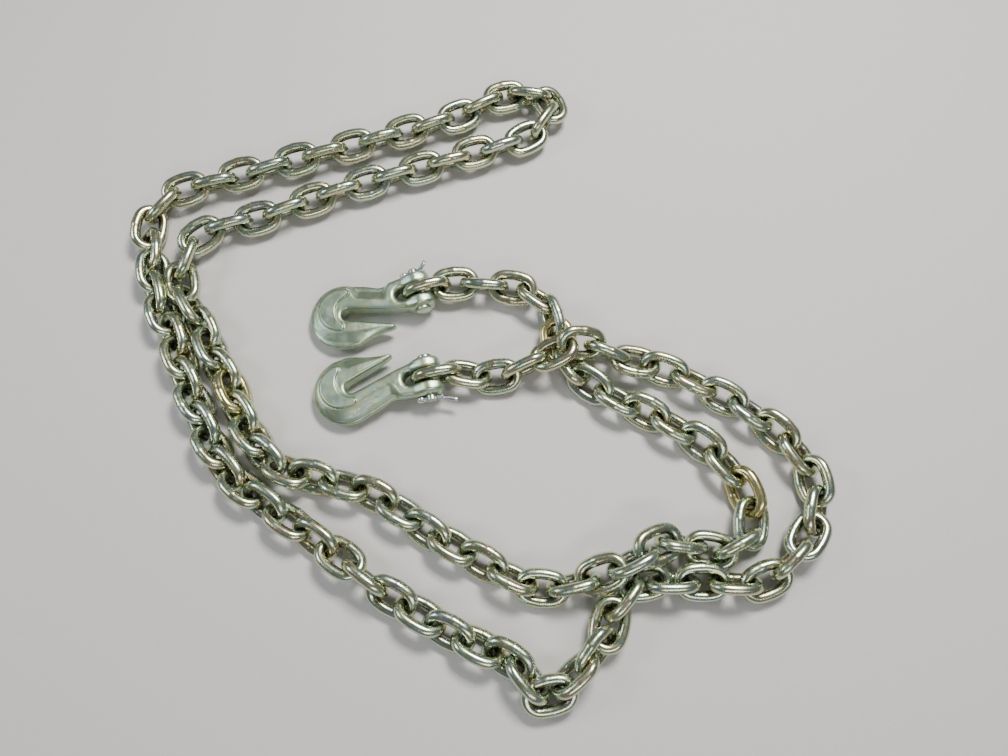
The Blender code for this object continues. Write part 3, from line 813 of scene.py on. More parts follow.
@dataclass
class Chain:
    """Welded links of round wire, each bearing on its neighbours and on the floor."""

    wire: float = 8.7
    inside_length: float = 26.4
    inside_width: float = 12.6
    touch: float = 8.78
    bar_bow: float = 0.35
    bar_radius: float = 48.0
    crown_samples: int = 19
    bar_samples: int = 13
    section_samples: int = 16
    solid_crown_steps: int = 4
    solid_wire_radius: float = 4.5
    solid_joined: float = 7.2
    solid_clear: float = 9.07
    solid_samples: int = 34
    solid_steps: int = 500
    solid_sink: float = 0.08
    real_samples: int = 40
    real_steps: int = 200
    real_sink: float = 0.01
    box_margin: float = 0.15
    weld_height: float = 0.42
    weld_reach: float = 1.5
    ripple_share: float = 0.5
    ripple_at: float = 3.2
    ripple_reach: float = 1.1
    crown_thinning: float = 0.12
    crown_blend: float = 8.0
    spread_margin: float = 2.0
    least_height: float = 0.02
    inner_span: tuple[float, float] = (-0.25, 0.95)
    # Height and strength of the painted shade on the links' undersides near the floor.
    shade_top: float = 0.9
    shade_depth: float = 0.8
    floor_shade: float = 0.7

    def __post_init__(self) -> None:
        """Work out the crown's radius and place."""
        self.crown_radius = (self.inside_width + self.wire) / 2
        self.crown_centre = (self.inside_length + self.wire) / 2 - self.crown_radius

    def centre_line(self) -> np.ndarray:
        """Points round a link's centre line, an oval of four arcs.

        The crowns are arcs of a small radius and the bars are arcs of a large one. Where
        they meet, both centres and the joint lie on one line, so the curve runs smoothly:
        the crown's radius is found from (half length less it) squared plus (bar radius
        less half width) squared equals (bar radius less it) squared.

        Returns:
            Points in order, first crown, bar, second crown, bar.
        """
        long = (self.inside_length + self.wire) / 2
        wide = (self.inside_width + self.wire) / 2 + self.bar_bow
        rise = self.bar_radius - wide
        crown = (self.bar_radius**2 - long**2 - rise**2) / (2 * (self.bar_radius - long))
        place = long - crown
        join = math.atan2(rise, place)
        a = np.linspace(-join, join, self.crown_samples)
        end = np.column_stack((place + crown * np.cos(a), crown * np.sin(a), np.zeros(len(a))))
        a = np.linspace(join, np.pi - join, self.bar_samples + 2)[1:-1]
        bar = np.column_stack((self.bar_radius * np.cos(a), self.bar_radius * np.sin(a) - rise,
                               np.zeros(len(a))))
        half = np.vstack((end, bar))
        return np.vstack((half, half * (-1, -1, 1)))

    def solid_corners(self) -> np.ndarray:
        """Corners of the solids' many-sided link: half-round crowns and straight bars.

        Returns:
            Points in order, in the link's own frame.
        """
        a = np.linspace(-np.pi / 2, np.pi / 2, self.solid_crown_steps + 1)
        half = np.column_stack((self.crown_centre + self.crown_radius * np.cos(a),
                                self.crown_radius * np.sin(a), np.zeros(len(a))))
        return np.vstack((half, half * (-1, -1, 1)))

    def even_line(self, line: np.ndarray, samples: int) -> np.ndarray:
        """Equal steps round a closed centre line, for working out where links touch.

        Args:
            line: Points of the centre line.
            samples: Number of steps.

        Returns:
            A point for each step.
        """
        sides = np.roll(line, -1, axis=0) - line
        ends = np.cumsum(np.linalg.norm(sides, axis=1))
        at = ends[-1] * np.arange(samples) / samples
        closed = np.vstack((line, line[:1]))
        stations = np.concatenate(((0.0,), ends))
        return np.column_stack([np.interp(at, stations, closed[:, k]) for k in range(3)])

    def smooth(self, knots: list[int], values: np.ndarray, at: np.ndarray) -> np.ndarray:
        """Cubic through given values, with each slope taken from its neighbours.

        Args:
            knots: Link numbers of the values.
            values: A row of values for each knot.
            at: Link numbers where the cubic is read.

        Returns:
            A row for each of them.
        """
        slopes = np.gradient(values, knots, axis=0)
        found = []
        for t in at:
            k = min(max(bisect.bisect_right(knots, t) - 1, 0), len(knots) - 2)
            span = knots[k + 1] - knots[k]
            u = (t - knots[k]) / span
            found.append((2 * u**3 - 3 * u**2 + 1) * values[k]
                         + (u**3 - 2 * u**2 + u) * span * slopes[k]
                         + (3 * u**2 - 2 * u**3) * values[k + 1]
                         + (u**3 - u**2) * span * slopes[k + 1])
        return np.array(found)

    def clevis_link(self, hook: "GrabHook") -> tuple[np.ndarray, np.ndarray]:
        """Pose of the link that stands upright in a hook's clevis, pulled against the pin.

        Args:
            hook: The hook.

        Returns:
            Centre and frame of the link.
        """
        away = math.radians(hook.heading + 180)
        along = np.array((math.cos(away), math.sin(away), 0.0))
        height = self.crown_radius + hook.solid_wire_radius
        centre = np.array((*hook.pin_at, height)) + (self.crown_centre + hook.pin_shift) * along
        up = np.array((0.0, 0.0, 1.0))
        return centre, np.column_stack((along, up, np.cross(along, up)))

    def first_poses(self, first: "GrabHook", last: "GrabHook") -> tuple[np.ndarray, np.ndarray]:
        """Centres and frames of the links on the listed route, before they settle.

        A frame's columns run along the chain, across the link and square to both. The
        across direction is cos t times the level side plus sin t times the rise, where t
        is the lean, and a quarter turn more for odd links.

        Args:
            first: Hook at the start.
            last: Hook at the end.

        Returns:
            Centres and frames of all links.
        """
        knots = [row[0] for row in ROUTE]
        inner = np.arange(1, LINKS - 1)
        placed = self.smooth(knots, np.array([row[1:] for row in ROUTE], float), inner)
        start, start_frame = self.clevis_link(first)
        end, end_frame = self.clevis_link(last)
        centres = np.vstack((start, placed[:, :3], end))
        along = unit(centres[2:] - centres[:-2])
        side = unit(np.cross((0.0, 0.0, 1.0), along))
        rise = np.cross(along, side)
        turn = np.radians(placed[:, 3] + 90 * (inner % 2))[:, None]
        across = np.cos(turn) * side + np.sin(turn) * rise
        frames = np.zeros((LINKS, 3, 3))
        frames[1:-1] = np.stack((along, across, np.cross(along, across)), axis=2)
        frames[0] = start_frame
        frames[-1] = end_frame
        return centres, frames

    def settle(self, first_hook: "GrabHook", last_hook: "GrabHook", groups: list[list[int]],
               box: np.ndarray) -> tuple[np.ndarray, np.ndarray]:
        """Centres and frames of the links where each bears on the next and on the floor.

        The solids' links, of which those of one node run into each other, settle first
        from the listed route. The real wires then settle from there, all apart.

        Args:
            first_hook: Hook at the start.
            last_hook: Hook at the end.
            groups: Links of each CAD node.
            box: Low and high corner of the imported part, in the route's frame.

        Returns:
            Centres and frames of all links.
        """
        node_of = np.zeros(LINKS, int)
        for number, group in enumerate(groups):
            node_of[group] = number
        open_box = np.full(3, np.inf)
        floor = np.array((-np.inf, -np.inf, self.solid_wire_radius))
        spread = self.crown_radius + self.spread_margin
        solid = Settling(self.even_line(self.solid_corners(), self.solid_samples), node_of,
                         self.solid_joined, self.solid_clear, floor, open_box, spread,
                         self.solid_steps, self.solid_sink)
        centres, frames = solid.run(*self.first_poses(first_hook, last_hook))
        centres[[0, -1], 2] += self.bar_bow
        margin = self.wire / 2 + self.box_margin
        real = Settling(self.even_line(self.centre_line(), self.real_samples), node_of,
                        self.touch, self.touch, box[0] + margin, box[1] - margin, spread,
                        self.real_steps, self.real_sink)
        return real.run(centres, frames)

    def link_surface(self) -> tuple[np.ndarray, np.ndarray]:
        """Surface of one link in its own frame.

        The wire's section is carried round the centre line: a point is the centre line's
        point plus r times (cos v times the outward direction plus sin v times the link's
        normal). The radius r grows in low rings where the bar is welded. Bending draws the
        wire out on the outside of the crowns, so r is a little less there and a little
        more on their inside.

        Returns:
            Points shaped along, round, 3, and how far each faces into the link.
        """
        line = self.centre_line()
        along = unit(np.roll(line, -1, axis=0) - np.roll(line, 1, axis=0))
        outward = np.cross(along, (0.0, 0.0, 1.0))
        v = np.linspace(0, 2 * np.pi, self.section_samples, endpoint=False)[None]
        on_bar = line[:, 1] > 0.9 * self.crown_radius
        at_bar = np.where(on_bar, line[:, 0], np.inf)[:, None]
        ripple = np.exp(-((at_bar - self.ripple_at) / self.ripple_reach)**2)
        weld = np.exp(-(at_bar / self.weld_reach)**2) + self.ripple_share * ripple
        crown = ramp(np.abs(line[:, :1]), self.crown_centre, self.crown_centre + self.crown_blend)
        radius = self.wire / 2 + self.weld_height * weld * (0.75 + 0.25 * np.cos(v))
        radius = radius - self.crown_thinning * crown * np.cos(v)
        ring = (np.cos(v)[..., None] * outward[:, None]
                + np.sin(v)[..., None] * np.array((0.0, 0.0, 1.0)))
        points = line[:, None] + radius[..., None] * ring
        inner = ramp(-np.cos(v) * np.ones_like(radius), *self.inner_span)
        return points, inner

    def dress(self, nodes: list[str], groups: list[list[int]], centres: np.ndarray,
              frames: np.ndarray, coat: bpy.types.Material, golden: bpy.types.Material) -> None:
        """Put the links of every CAD node in its place as one piece.

        Points that would lie under the least height are brought up to it, so that an
        underside on the floor is flat.

        Args:
            nodes: Names of the CAD nodes of the chain.
            groups: Links of each of them.
            centres: Centres of all links.
            frames: Frames of all links.
            coat: Finish of most links.
            golden: Finish of the warmer ones.
        """
        surface, inner = self.link_surface()
        rows, columns = surface.shape[:2]
        faces = grid_faces(rows, columns, True)
        tints = np.random.default_rng(SEED).uniform(-1, 1, LINKS)
        flips = np.random.default_rng(SEED + 1).integers(0, 2, LINKS) * 2 - 1
        for node, group in zip(nodes, groups):
            turned = [surface.reshape(-1, 3) * (flips[k], flips[k], 1) for k in group]
            points = np.vstack([p @ frames[k].T + centres[k] for k, p in zip(group, turned)])
            points[:, 2] = np.maximum(points[:, 2], self.least_height)
            quads = np.vstack([faces + n * rows * columns for n in range(len(group))])
            # Painted shade: each link is darkened on its inside, where its neighbours shade it,
            # and low down near the floor.
            low = ramp(self.wire * self.shade_top - points[:, 2], 0.0,
                       self.wire * self.shade_depth)
            painted_shade = np.maximum(np.tile(inner.ravel(), len(group)), self.floor_shade * low)
            values = {
                "tint": np.repeat(tints[group], rows * columns),
                "painted_shade": painted_shade,
            }
            picks = np.repeat([int(k in GOLDEN_LINKS) for k in group], len(faces))
            slot = Slot.GOLDEN if picks.any() else Slot.CHAIN
            piece = new_piece(f"chain_{node}", points, quads, [coat, golden], picks, values)
            hand_over(piece, Body.CHAIN, slot, node)


@dataclass
class GrabHook:
    """Forged clevis grab hook, its clevis pin and the cotter that keeps the pin.

    In the hook's own frame the pin runs along Y through the origin, the bow lies towards
    X and Z is square to the flat of the hook.
    """

    name: str
    body: Body
    pin_at: tuple[float, float]
    heading: float
    turned_over: bool
    pin_height: float = 14.75
    pin_shift: float = 0.5
    solid_wire_radius: float = 4.5
    tilt: float = 4.2
    thickness: float = 16.0
    point_thickness: float = 11.5
    edge: float = 4.2
    throat_turn: float = 20.0
    bow_centre: tuple[float, float] = (62.2, 25.0)
    bow_radius: float = 28.6
    throat_centre: tuple[float, float] = (57.3, 24.8)
    throat_radius: float = 5.3
    pad_outer_at: tuple[float, float] = (63.6, 24.8)
    pad_outer_radius: float = 18.4
    pad_inner_at: tuple[float, float] = (53.8, 24.6)
    pad_inner_radius: float = 14.6
    pad_offset: float = 3.8
    pad_end: float = 59.0
    pad_height: float = 1.2
    pad_round: float = 3.0
    pad_rise_span: tuple[float, float] = (-0.5, 0.6)
    groove_at: float = 0.6
    groove_width: float = 0.7
    groove_depth: float = 0.3
    face_drop: float = 0.75
    arm_span: tuple[float, float] = (-52.0, -12.0)
    arm_side_span: tuple[float, float] = (2.0, 6.0)
    ridge_least: float = 2.5
    ridge_growth: float = 7.5
    ridge_span: tuple[float, float] = (14.0, 56.0)
    ridge_at_shank: float = 9.0
    ridge_past_pad: float = 1.2
    ridge_round: float = 0.6
    bow_span: tuple[float, float] = (50.0, 62.0)
    shank_span: tuple[float, float] = (25.0, 33.0)
    slope: float = 0.5
    slope_limit: float = 4.2
    throat_edge_loss: float = 1.4
    throat_span: tuple[float, float] = (-6.0, -1.0)
    least_wall: float = 0.5
    ear_radius: float = 10.8
    ear_inside: float = 5.6
    ear_outside: float = 15.1
    ear_edge: float = 2.6
    slot_half: float = 5.5
    slot_root: float = 14.0
    pin_hole_radius: float = 4.8
    fillet: float = 5.0
    step: float = 0.56
    grid_back: float = -14.0
    grid_half_height: float = 13.0
    grid_room: float = 2.0
    # Shares and places of the painted shade on the forging's sides, groove, outer edge and slot.
    rim_shade: float = 0.55
    rim_span: tuple[float, float] = (-2.5, 0.5)
    side_span: tuple[float, float] = (-7.0, -3.0)
    groove_shade: float = 0.9
    edge_shade: float = 0.6
    edge_span: tuple[float, float] = (-5.5, -1.0)
    bow_middle: float = 20.0
    flank_span: tuple[float, float] = (14.0, 24.0)
    past_shank_span: tuple[float, float] = (20.0, 40.0)
    slot_wall_span: tuple[float, float] = (-7.5, -5.8)
    slot_end_span: tuple[float, float] = (-22.0, -16.0)
    pin_step: float = 0.42
    pin_low: tuple[float, float, float] = (-8.0, -23.0, -8.0)
    pin_high: tuple[float, float, float] = (8.0, 21.5, 8.0)
    pin_radius: float = 4.4
    pin_head_radius: float = 6.6
    pin_head_length: float = 4.0
    pin_edge: float = 0.9
    pin_head_edge: float = 0.8
    pin_tail: float = 6.2
    pin_gap: float = 0.3
    pin_into_head: float = 1.0
    pin_dome: float = 1.3
    pin_dome_reach: float = 7.0
    ear_play: float = 0.1
    cotter_hole_radius: float = 2.3
    cotter_place: float = -18.4
    cotter_wire: tuple[float, float] = (1.75, 1.0)
    cotter_leg_place: float = 1.05
    cotter_tip: tuple[float, float, float] = (-22.0, -24.6, 1.6)
    cotter_eye_centre: float = 8.3
    cotter_eye_radius: float = 2.9

    def place(self, points: np.ndarray) -> np.ndarray:
        """Points of the hook's own frame where the hook lies, let down to the floor.

        Args:
            points: Points in the hook's own frame.

        Returns:
            The same points in the route's frame.
        """
        angle = math.radians(self.heading)
        tilt = math.radians(self.tilt)
        level = np.array((math.cos(angle), math.sin(angle), 0.0))
        across = np.cross((0.0, 0.0, -1.0 if self.turned_over else 1.0), level)
        forward = level * math.cos(tilt) - np.array((0.0, 0.0, math.sin(tilt)))
        turn = np.column_stack((forward, across, np.cross(forward, across)))
        return points @ turn.T + (*self.pin_at, self.pin_height)

    def outline(self) -> np.ndarray:
        """Flat outline of the forging: clevis, neck, bow, point, throat and shank.

        Returns:
            Corners in the hook's own frame.
        """
        clevis = [(-9.2, -14.8), (8, -15.6), (20.6, -15.2), (30, -13.5)]
        ear = [(5, 15), (-9.2, 14.8), (-10.7, 12), (-10.7, 8), (-9.2, self.slot_half)]
        point = [(48, 51.2), (41, 46.8), (34, 42), (25, 37.5), (16.5, 34.8), (16.2, 30.6),
                 (36, 30.2)]
        bow = np.vstack((
            [(38, -2.5), (46, -3.6)],
            arc(self.bow_centre, self.bow_radius, -100, 95, 40),
            point,
            arc(self.throat_centre, self.throat_radius, 90, -90, 18),
            [(35, 18.7), (15, 18)],
        ))
        turn = math.radians(-self.throat_turn)
        bow = bow @ np.array(((math.cos(turn), math.sin(turn)), (-math.sin(turn), math.cos(turn))))
        slot = arc((self.slot_root, 0), self.slot_half, 90, -90, 18)
        far_ear = [(x, -y) for x, y in reversed(ear[2:])]
        return rounded_corners(np.vstack((clevis, bow, ear, slot, far_ear)), 2)

    def turned(self, x: np.ndarray, y: np.ndarray) -> tuple[np.ndarray, np.ndarray]:
        """Places turned by the throat's angle, so that the throat runs along the first axis."""
        turn = math.radians(self.throat_turn)
        return (x * math.cos(turn) - y * math.sin(turn), x * math.sin(turn) + y * math.cos(turn))

    def pad_band(self, x: np.ndarray, y: np.ndarray, side: int) -> np.ndarray:
        """Depth within the crescent pad of one face, negative outside it.

        The crescent lies inside a wide circle and outside a narrow one, and is cut across
        at both ends. The three distances are joined with rounded corners.

        Args:
            x: First coordinates in the hook's own frame.
            y: Second coordinates.
            side: 1 for the face towards Z, -1 for the other.

        Returns:
            Distances.
        """
        u, v = self.turned(x, y)
        rise = self.pad_offset * side
        outer = self.pad_outer_radius - np.hypot(u - self.pad_outer_at[0],
                                                 v - self.pad_outer_at[1] + rise)
        inner = np.hypot(u - self.pad_inner_at[0], v - self.pad_inner_at[1] + rise)
        inner = inner - self.pad_inner_radius
        return smooth_union(np.minimum(outer, inner), u - self.pad_end, self.pad_round)

    def groove(self, band: np.ndarray) -> np.ndarray:
        """Bell curve of the pad's depth: 1 along the groove, e to the minus square beside it."""
        return np.exp(-((band + self.groove_at) / self.groove_width)**2)

    def relief(self, x: np.ndarray, y: np.ndarray, side: int) -> tuple[np.ndarray, np.ndarray]:
        """Half thickness and edge radius of one face of the forging over its flat.

        The flat is thinned towards the point. It stays level up to a ridge, a set distance
        from the throat, and slopes down from there to the outer edge. The pad is raised
        over it, with a shallow groove round it.

        Args:
            x: First coordinates in the hook's own frame.
            y: Second coordinates.
            side: 1 for the face towards Z, -1 for the other.

        Returns:
            Half thickness and edge radius, shaped like x.
        """
        u, v = self.turned(x, y)
        over = v - self.throat_centre[1]
        arm = ramp(-u, *self.arm_span) * ramp(over, *self.arm_side_span)
        half = self.thickness / 2 - self.face_drop
        half = half - (self.thickness - self.point_thickness) / 2 * arm
        throat = np.hypot(np.maximum(u - self.throat_centre[0], 0.0), over) - self.throat_radius
        ridge = self.ridge_least + self.ridge_growth * ramp(u, *self.ridge_span)
        ridge = np.where(over > 0, ridge, self.ridge_at_shank)
        wide = np.hypot(u - self.pad_outer_at[0],
                        v - self.pad_outer_at[1] + self.pad_offset * side)
        bow = ramp(u, *self.bow_span)
        beyond = wide - self.pad_outer_radius - self.ridge_past_pad
        past = (throat - ridge) * (1 - bow) + beyond * bow
        past = 0.5 * (past + np.sqrt(past**2 + self.ridge_round))
        kept = np.where(over > 0, 1.0, ramp(u, *self.shank_span))
        half = half - np.minimum(self.slope * past * kept, self.slope_limit)
        band = self.pad_band(x, y, side)
        half = half + self.pad_height * ramp(band, *self.pad_rise_span)
        half = half - self.groove_depth * self.groove(band)
        rim = self.edge - self.throat_edge_loss * ramp(-throat, *self.throat_span)
        return half, np.minimum(rim, half - self.least_wall)

    def depth(self, x: np.ndarray, y: np.ndarray, z: np.ndarray,
              flat: np.ndarray) -> np.ndarray:
        """Signed distance to the forging, negative inside.

        The outline and the thickness are joined by a quarter round at the rim. The ears
        are rounded cylinders along Y, blended in over a fillet, and the pin's hole is
        taken out.

        Args:
            x: First coordinates.
            y: Second coordinates.
            z: Third coordinates.
            flat: Signed distance of (x, y) to the outline.

        Returns:
            Distances.
        """
        upper = z >= 0
        faces = [self.relief(x, y, side) for side in (1, -1)]
        half, rim = (np.where(upper, one, other) for one, other in zip(*faces))
        plate = rounded_meet(flat, np.abs(z) - half, rim)
        middle = (self.ear_outside + self.ear_inside) / 2
        reach = (self.ear_outside - self.ear_inside) / 2
        round_pin = np.hypot(x, z)
        ear = rounded_meet(round_pin - self.ear_radius, np.abs(np.abs(y) - middle) - reach,
                           self.ear_edge)
        solid = smooth_union(plate, ear, self.fillet)
        slot = np.where(x < self.slot_root, np.abs(y), np.hypot(x - self.slot_root, y))
        solid = np.maximum(solid, self.slot_half - slot)
        return np.maximum(solid, self.pin_hole_radius - round_pin)

    def forging(self) -> tuple[np.ndarray, np.ndarray, np.ndarray]:
        """Surface of the hook's body in its own frame, on the zero level of its depth.

        Returns:
            Points, quads, and the painted shade of each point.
        """
        outline = self.outline()
        room = self.grid_room
        low = np.array((self.grid_back, outline[:, 1].min() - room, -self.grid_half_height))
        high = np.array((*(outline.max(axis=0) + room), self.grid_half_height))
        axes = grid_axes(low, high, self.step)
        x, y, z = np.meshgrid(*axes, indexing="ij", sparse=True)
        flat = outline_distance(*np.meshgrid(axes[0], axes[1], indexing="ij"), outline)[..., None]
        points, quads = surface_net(self.depth(x, y, z, flat), low, self.step)
        points = drawn_on(points, lambda p: self.depth_at(p, outline), 0.1, 0.4)
        return points, quads, self.painted_shading(points, outline)

    def painted_shading(self, points: np.ndarray, outline: np.ndarray) -> np.ndarray:
        """Painted shade of each point of the forging, which darkens its finish.

        The result is the largest of four shades: the middle of the sides, the groove round
        the pad, the outer edge past the shank, and the walls of the slot. The groove's is
        its bell curve, and the others are products of smooth steps across their places.

        Args:
            points: Points of the surface, in the hook's own frame.
            outline: Outline of the forging.

        Returns:
            A number from 0 to 1 for each point.
        """
        x, y, z = points.T
        rim = outline_distance(x, y, outline)
        sides = self.rim_shade * ramp(rim, *self.rim_span) * ramp(-np.abs(z), *self.side_span)
        band = np.where(z >= 0, self.pad_band(x, y, 1), self.pad_band(x, y, -1))
        flank = ramp(np.abs(y - self.bow_middle), *self.flank_span)
        outer_edge = self.edge_shade * ramp(rim, *self.edge_span) * flank
        outer_edge = outer_edge * ramp(x, *self.past_shank_span)
        slot = ramp(-np.abs(y), *self.slot_wall_span) * ramp(-x, *self.slot_end_span)
        return np.maximum.reduce((sides, self.groove_shade * self.groove(band), outer_edge, slot))

    def depth_at(self, points: np.ndarray, outline: np.ndarray) -> np.ndarray:
        """Signed distance of loose points to the forging."""
        x, y, z = points.T
        return self.depth(x, y, z, outline_distance(x, y, outline))

    def pin_depth(self, x: np.ndarray, y: np.ndarray, z: np.ndarray) -> np.ndarray:
        """Signed distance to the clevis pin, negative inside.

        The shank and the head are rounded cylinders along Y. The head's top falls by the
        dome's height times the square of (distance from the axis over the head's radius),
        and the cotter's cross hole is taken out.

        Args:
            x: First coordinates.
            y: Second coordinates.
            z: Third coordinates.

        Returns:
            Distances.
        """
        head_at = self.ear_outside + self.ear_play + self.pin_gap
        tail_at = -self.ear_outside - self.ear_play - self.pin_tail
        end_at = head_at + self.pin_into_head
        radius = np.hypot(x, z)
        shank = rounded_meet(radius - self.pin_radius,
                             np.abs(y - (end_at + tail_at) / 2) - (end_at - tail_at) / 2,
                             self.pin_edge)
        share = np.minimum(radius, self.pin_dome_reach) / self.pin_head_radius
        dome = self.pin_head_length - self.pin_dome * share**2
        head = rounded_meet(radius - self.pin_head_radius,
                            np.maximum(head_at - y, y - head_at - dome), self.pin_head_edge)
        solid = np.minimum(shank, head)
        hole = np.hypot(y - self.cotter_place, z)
        return np.maximum(solid, self.cotter_hole_radius - hole)

    def pin_surface(self) -> tuple[np.ndarray, np.ndarray]:
        """Surface of the clevis pin on the zero level of its depth.

        Returns:
            Points and quads, in the hook's own frame.
        """
        low = np.array(self.pin_low)
        axes = grid_axes(low, np.array(self.pin_high), self.pin_step)
        x, y, z = np.meshgrid(*axes, indexing="ij", sparse=True)
        points, quads = surface_net(self.pin_depth(x, y, z), low, self.pin_step)
        return drawn_on(points, lambda p: self.pin_depth(*p.T), 0.05, np.inf), quads

    def cotter_line(self) -> np.ndarray:
        """Centre line of the cotter's wire, from the long tip round the eye to the short.

        Returns:
            Points smoothed through given places of the two legs and the eye.
        """
        y, z = self.cotter_place, self.cotter_leg_place
        tip = np.array(self.cotter_tip)
        bend = np.array((-5.8, y - 0.6, z))
        path = [tip, 0.5 * (tip + bend) + (0.0, 0.9, 0.0), bend, (-4.0, y, z), (4.5, y, z)]
        a = np.radians(160 - 40 * np.arange(9))
        for x, height in zip(self.cotter_eye_centre + self.cotter_eye_radius * np.cos(a),
                             self.cotter_eye_radius * np.sin(a)):
            path.append((x, y, height))
        path += [(4.5, y, -z), (-5.0, y, -z), (-7.2, y - 0.5, -2.0), (-10.0, y - 1.7, -5.0)]
        corners = np.array(path)
        for _ in range(3):
            inner = np.stack((0.75 * corners[:-1] + 0.25 * corners[1:],
                              0.25 * corners[:-1] + 0.75 * corners[1:]), axis=1).reshape(-1, 3)
            corners = np.vstack((corners[:1], inner[1:-1], corners[-1:]))
        return corners

    def dress(self, coat: bpy.types.Material, pin_coat: bpy.types.Material,
              zinc: bpy.types.Material) -> None:
        """Put the hook, its pin and its cotter in the place of their CAD nodes.

        Args:
            coat: Finish of the forging.
            pin_coat: Finish of the pin.
            zinc: Finish of the cotter.
        """
        # The forging's painted shade goes to its finish as a per-point mask.
        points, quads, painted_shade_mask = self.forging()
        self.show("forged_hook", "hook", points, quads, coat, self.body, Slot.HOOK,
                  HOOK_TINT, painted_shade_mask)
        points, quads = self.pin_surface()
        self.show("headed_pin", "clevis_pin", points, quads, pin_coat, Body.CHAIN, Slot.PIN)
        line = self.cotter_line()
        reach = np.linalg.norm(line - line[0], axis=1)
        full = 0.8 + 0.2 * ramp(reach, 0.0, 4.0)
        full[-1] = 0.6
        points, quads = swept_tube(line, full[:, None] * self.cotter_wire, 12)
        self.show("bent_cotter", "cotter", points, quads, zinc, Body.CHAIN, Slot.COTTER)

    def show(self, title: str, node: str, points: np.ndarray, quads: np.ndarray,
             finish: bpy.types.Material, body: Body, slot: Slot, tint: float = 0.0,
             painted_shade: np.ndarray | float = 0.0) -> None:
        """Put one surface where the hook lies, in the place of its CAD node.

        Args:
            title: Start of the piece's name.
            node: Start of the CAD node's name.
            points: The surface's points, in the hook's own frame.
            quads: Its quads.
            finish: Its material.
            body: Body that it rides on.
            slot: Slot that the finish stands for.
            tint: Shift of the coat's hue.
            painted_shade: How much painted shade each point takes.
        """
        blank = np.zeros(len(points))
        piece = new_piece(f"{title}_{self.name}", self.place(points), quads, [finish],
                          values={"tint": blank + tint, "painted_shade": blank + painted_shade})
        hand_over(piece, body, slot, f"{node}_{self.name}")


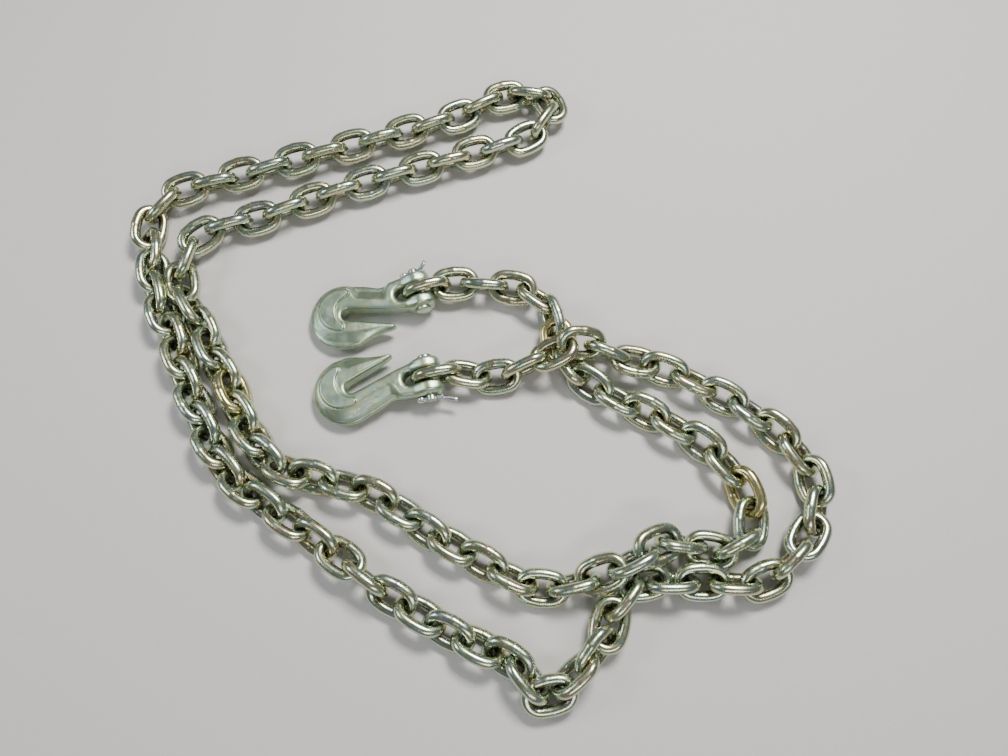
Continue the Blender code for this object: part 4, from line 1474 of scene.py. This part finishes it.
@dataclass
class Studio:
    """Pale floor, soft lights and the camera at the photograph's angle."""

    floor_size: float = 6.0
    floor_colour: tuple[float, float, float] = (0.62, 0.60, 0.58)
    floor_roughness: float = 0.75
    sky_colour: tuple[float, float, float] = (0.80, 0.86, 0.95)
    sky_strength: float = 0.2
    camera_at: tuple[float, float, float] = (0.034911, -0.221914, 0.60305)
    camera_down: float = 71.0
    focal: float = 27.04

    def floor(self) -> None:
        """Flat pale floor under the chain."""
        half = self.floor_size / 2
        mesh = bpy.data.meshes.new("floor")
        mesh.from_pydata([(-half, -half, 0), (half, -half, 0), (half, half, 0), (-half, half, 0)],
                         [], [(0, 1, 2, 3)])
        material = bpy.data.materials.new("floor")
        material.use_nodes = True
        shader = material.node_tree.nodes["Principled BSDF"]
        shader.inputs["Base Color"].default_value = (*self.floor_colour, 1.0)
        shader.inputs["Roughness"].default_value = self.floor_roughness
        mesh.materials.append(material)
        floor = bpy.data.objects.new("floor", mesh)
        bpy.context.scene.collection.objects.link(floor)
        floor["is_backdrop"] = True

    def light(self, name: str, at: tuple[float, float, float], size: tuple[float, float],
              power: float, colour: tuple[float, float, float] = (1.0, 1.0, 1.0)) -> None:
        """Rectangular soft light that faces the chain.

        Args:
            name: Name of the light.
            at: Where it hangs, in metres.
            size: Its sides.
            power: Its power, in watts.
            colour: Its colour.
        """
        data = bpy.data.lights.new(name, "AREA")
        data.shape = "RECTANGLE"
        data.size, data.size_y = size
        data.energy = power
        data.color = colour
        lamp = bpy.data.objects.new(name, data)
        lamp.location = at
        lamp.rotation_mode = "QUATERNION"
        lamp.rotation_quaternion = Vector(at).to_track_quat("Z", "Y")
        bpy.context.scene.collection.objects.link(lamp)

    def world(self) -> None:
        """Dim, even surroundings."""
        world = bpy.data.worlds.new("studio")
        world.use_nodes = True
        sky = world.node_tree.nodes["Background"]
        sky.inputs["Color"].default_value = (*self.sky_colour, 1.0)
        sky.inputs["Strength"].default_value = self.sky_strength
        bpy.context.scene.world = world

    def camera(self) -> None:
        """Camera where the photograph was taken from."""
        data = bpy.data.cameras.new("camera")
        data.lens = self.focal
        data.sensor_width = 36.0
        data.clip_start = 0.01
        camera = bpy.data.objects.new("camera", data)
        camera.location = self.camera_at
        camera.rotation_euler = (math.radians(90 - self.camera_down), 0.0, 0.0)
        bpy.context.scene.collection.objects.link(camera)
        bpy.context.scene.camera = camera

    def build(self) -> None:
        """Make the whole studio."""
        self.floor()
        self.world()
        self.light("key", (0.42, 0.62, 1.30), (0.50, 0.34), 30.0, (1.0, 0.98, 0.95))
        self.light("side", (-1.10, 0.10, 0.90), (0.50, 0.40), 6.0, (0.88, 0.94, 1.0))
        self.light("front", (0.30, -1.00, 1.00), (0.90, 0.24), 5.0, (1.0, 0.98, 0.95))
        self.camera()


def box_lists() -> list[list[float]]:
    """Lowest and highest corner of what is shown, as plain lists."""
    return [list(corner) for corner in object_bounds()]


def main() -> None:
    """Build the studio, the finishes, the chain and the hooks."""
    logging.basicConfig(level=logging.INFO, format="%(name)s: %(message)s")
    cad_box = box_lists()
    Studio().build()
    film, grain = film_group(), grain_group()
    coat, golden, hook_coat, pin_coat, zinc = (
        finish.build(film, grain)
        for finish in (CHAIN_FINISH, GOLDEN_FINISH, HOOK_FINISH, PIN_FINISH, COTTER_FINISH))
    first = GrabHook("a", Body.HOOK_A, (-73.0, 280.3), 197.0, False,
                     cotter_tip=(-12.5, -25.4, 2.6))
    last = GrabHook("b", Body.HOOK_B, (-62.6, 203.4), 191.5, True)
    chain = Chain()
    names = sorted(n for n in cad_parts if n.startswith("link"))
    ends = [[int(n) for n in name.split("_")[1:]] for name in names]
    groups = [list(range(pair[0], pair[-1] + 1)) for pair in ends]
    box = np.array(cad_box) / MM - ROUTE_TO_FLOOR
    centres, frames = chain.settle(first, last, groups, box)
    chain.dress(names, groups, centres, frames, coat, golden)
    for hook in (first, last):
        hook.dress(hook_coat, pin_coat, zinc)


if __name__ == "__main__":
    main()
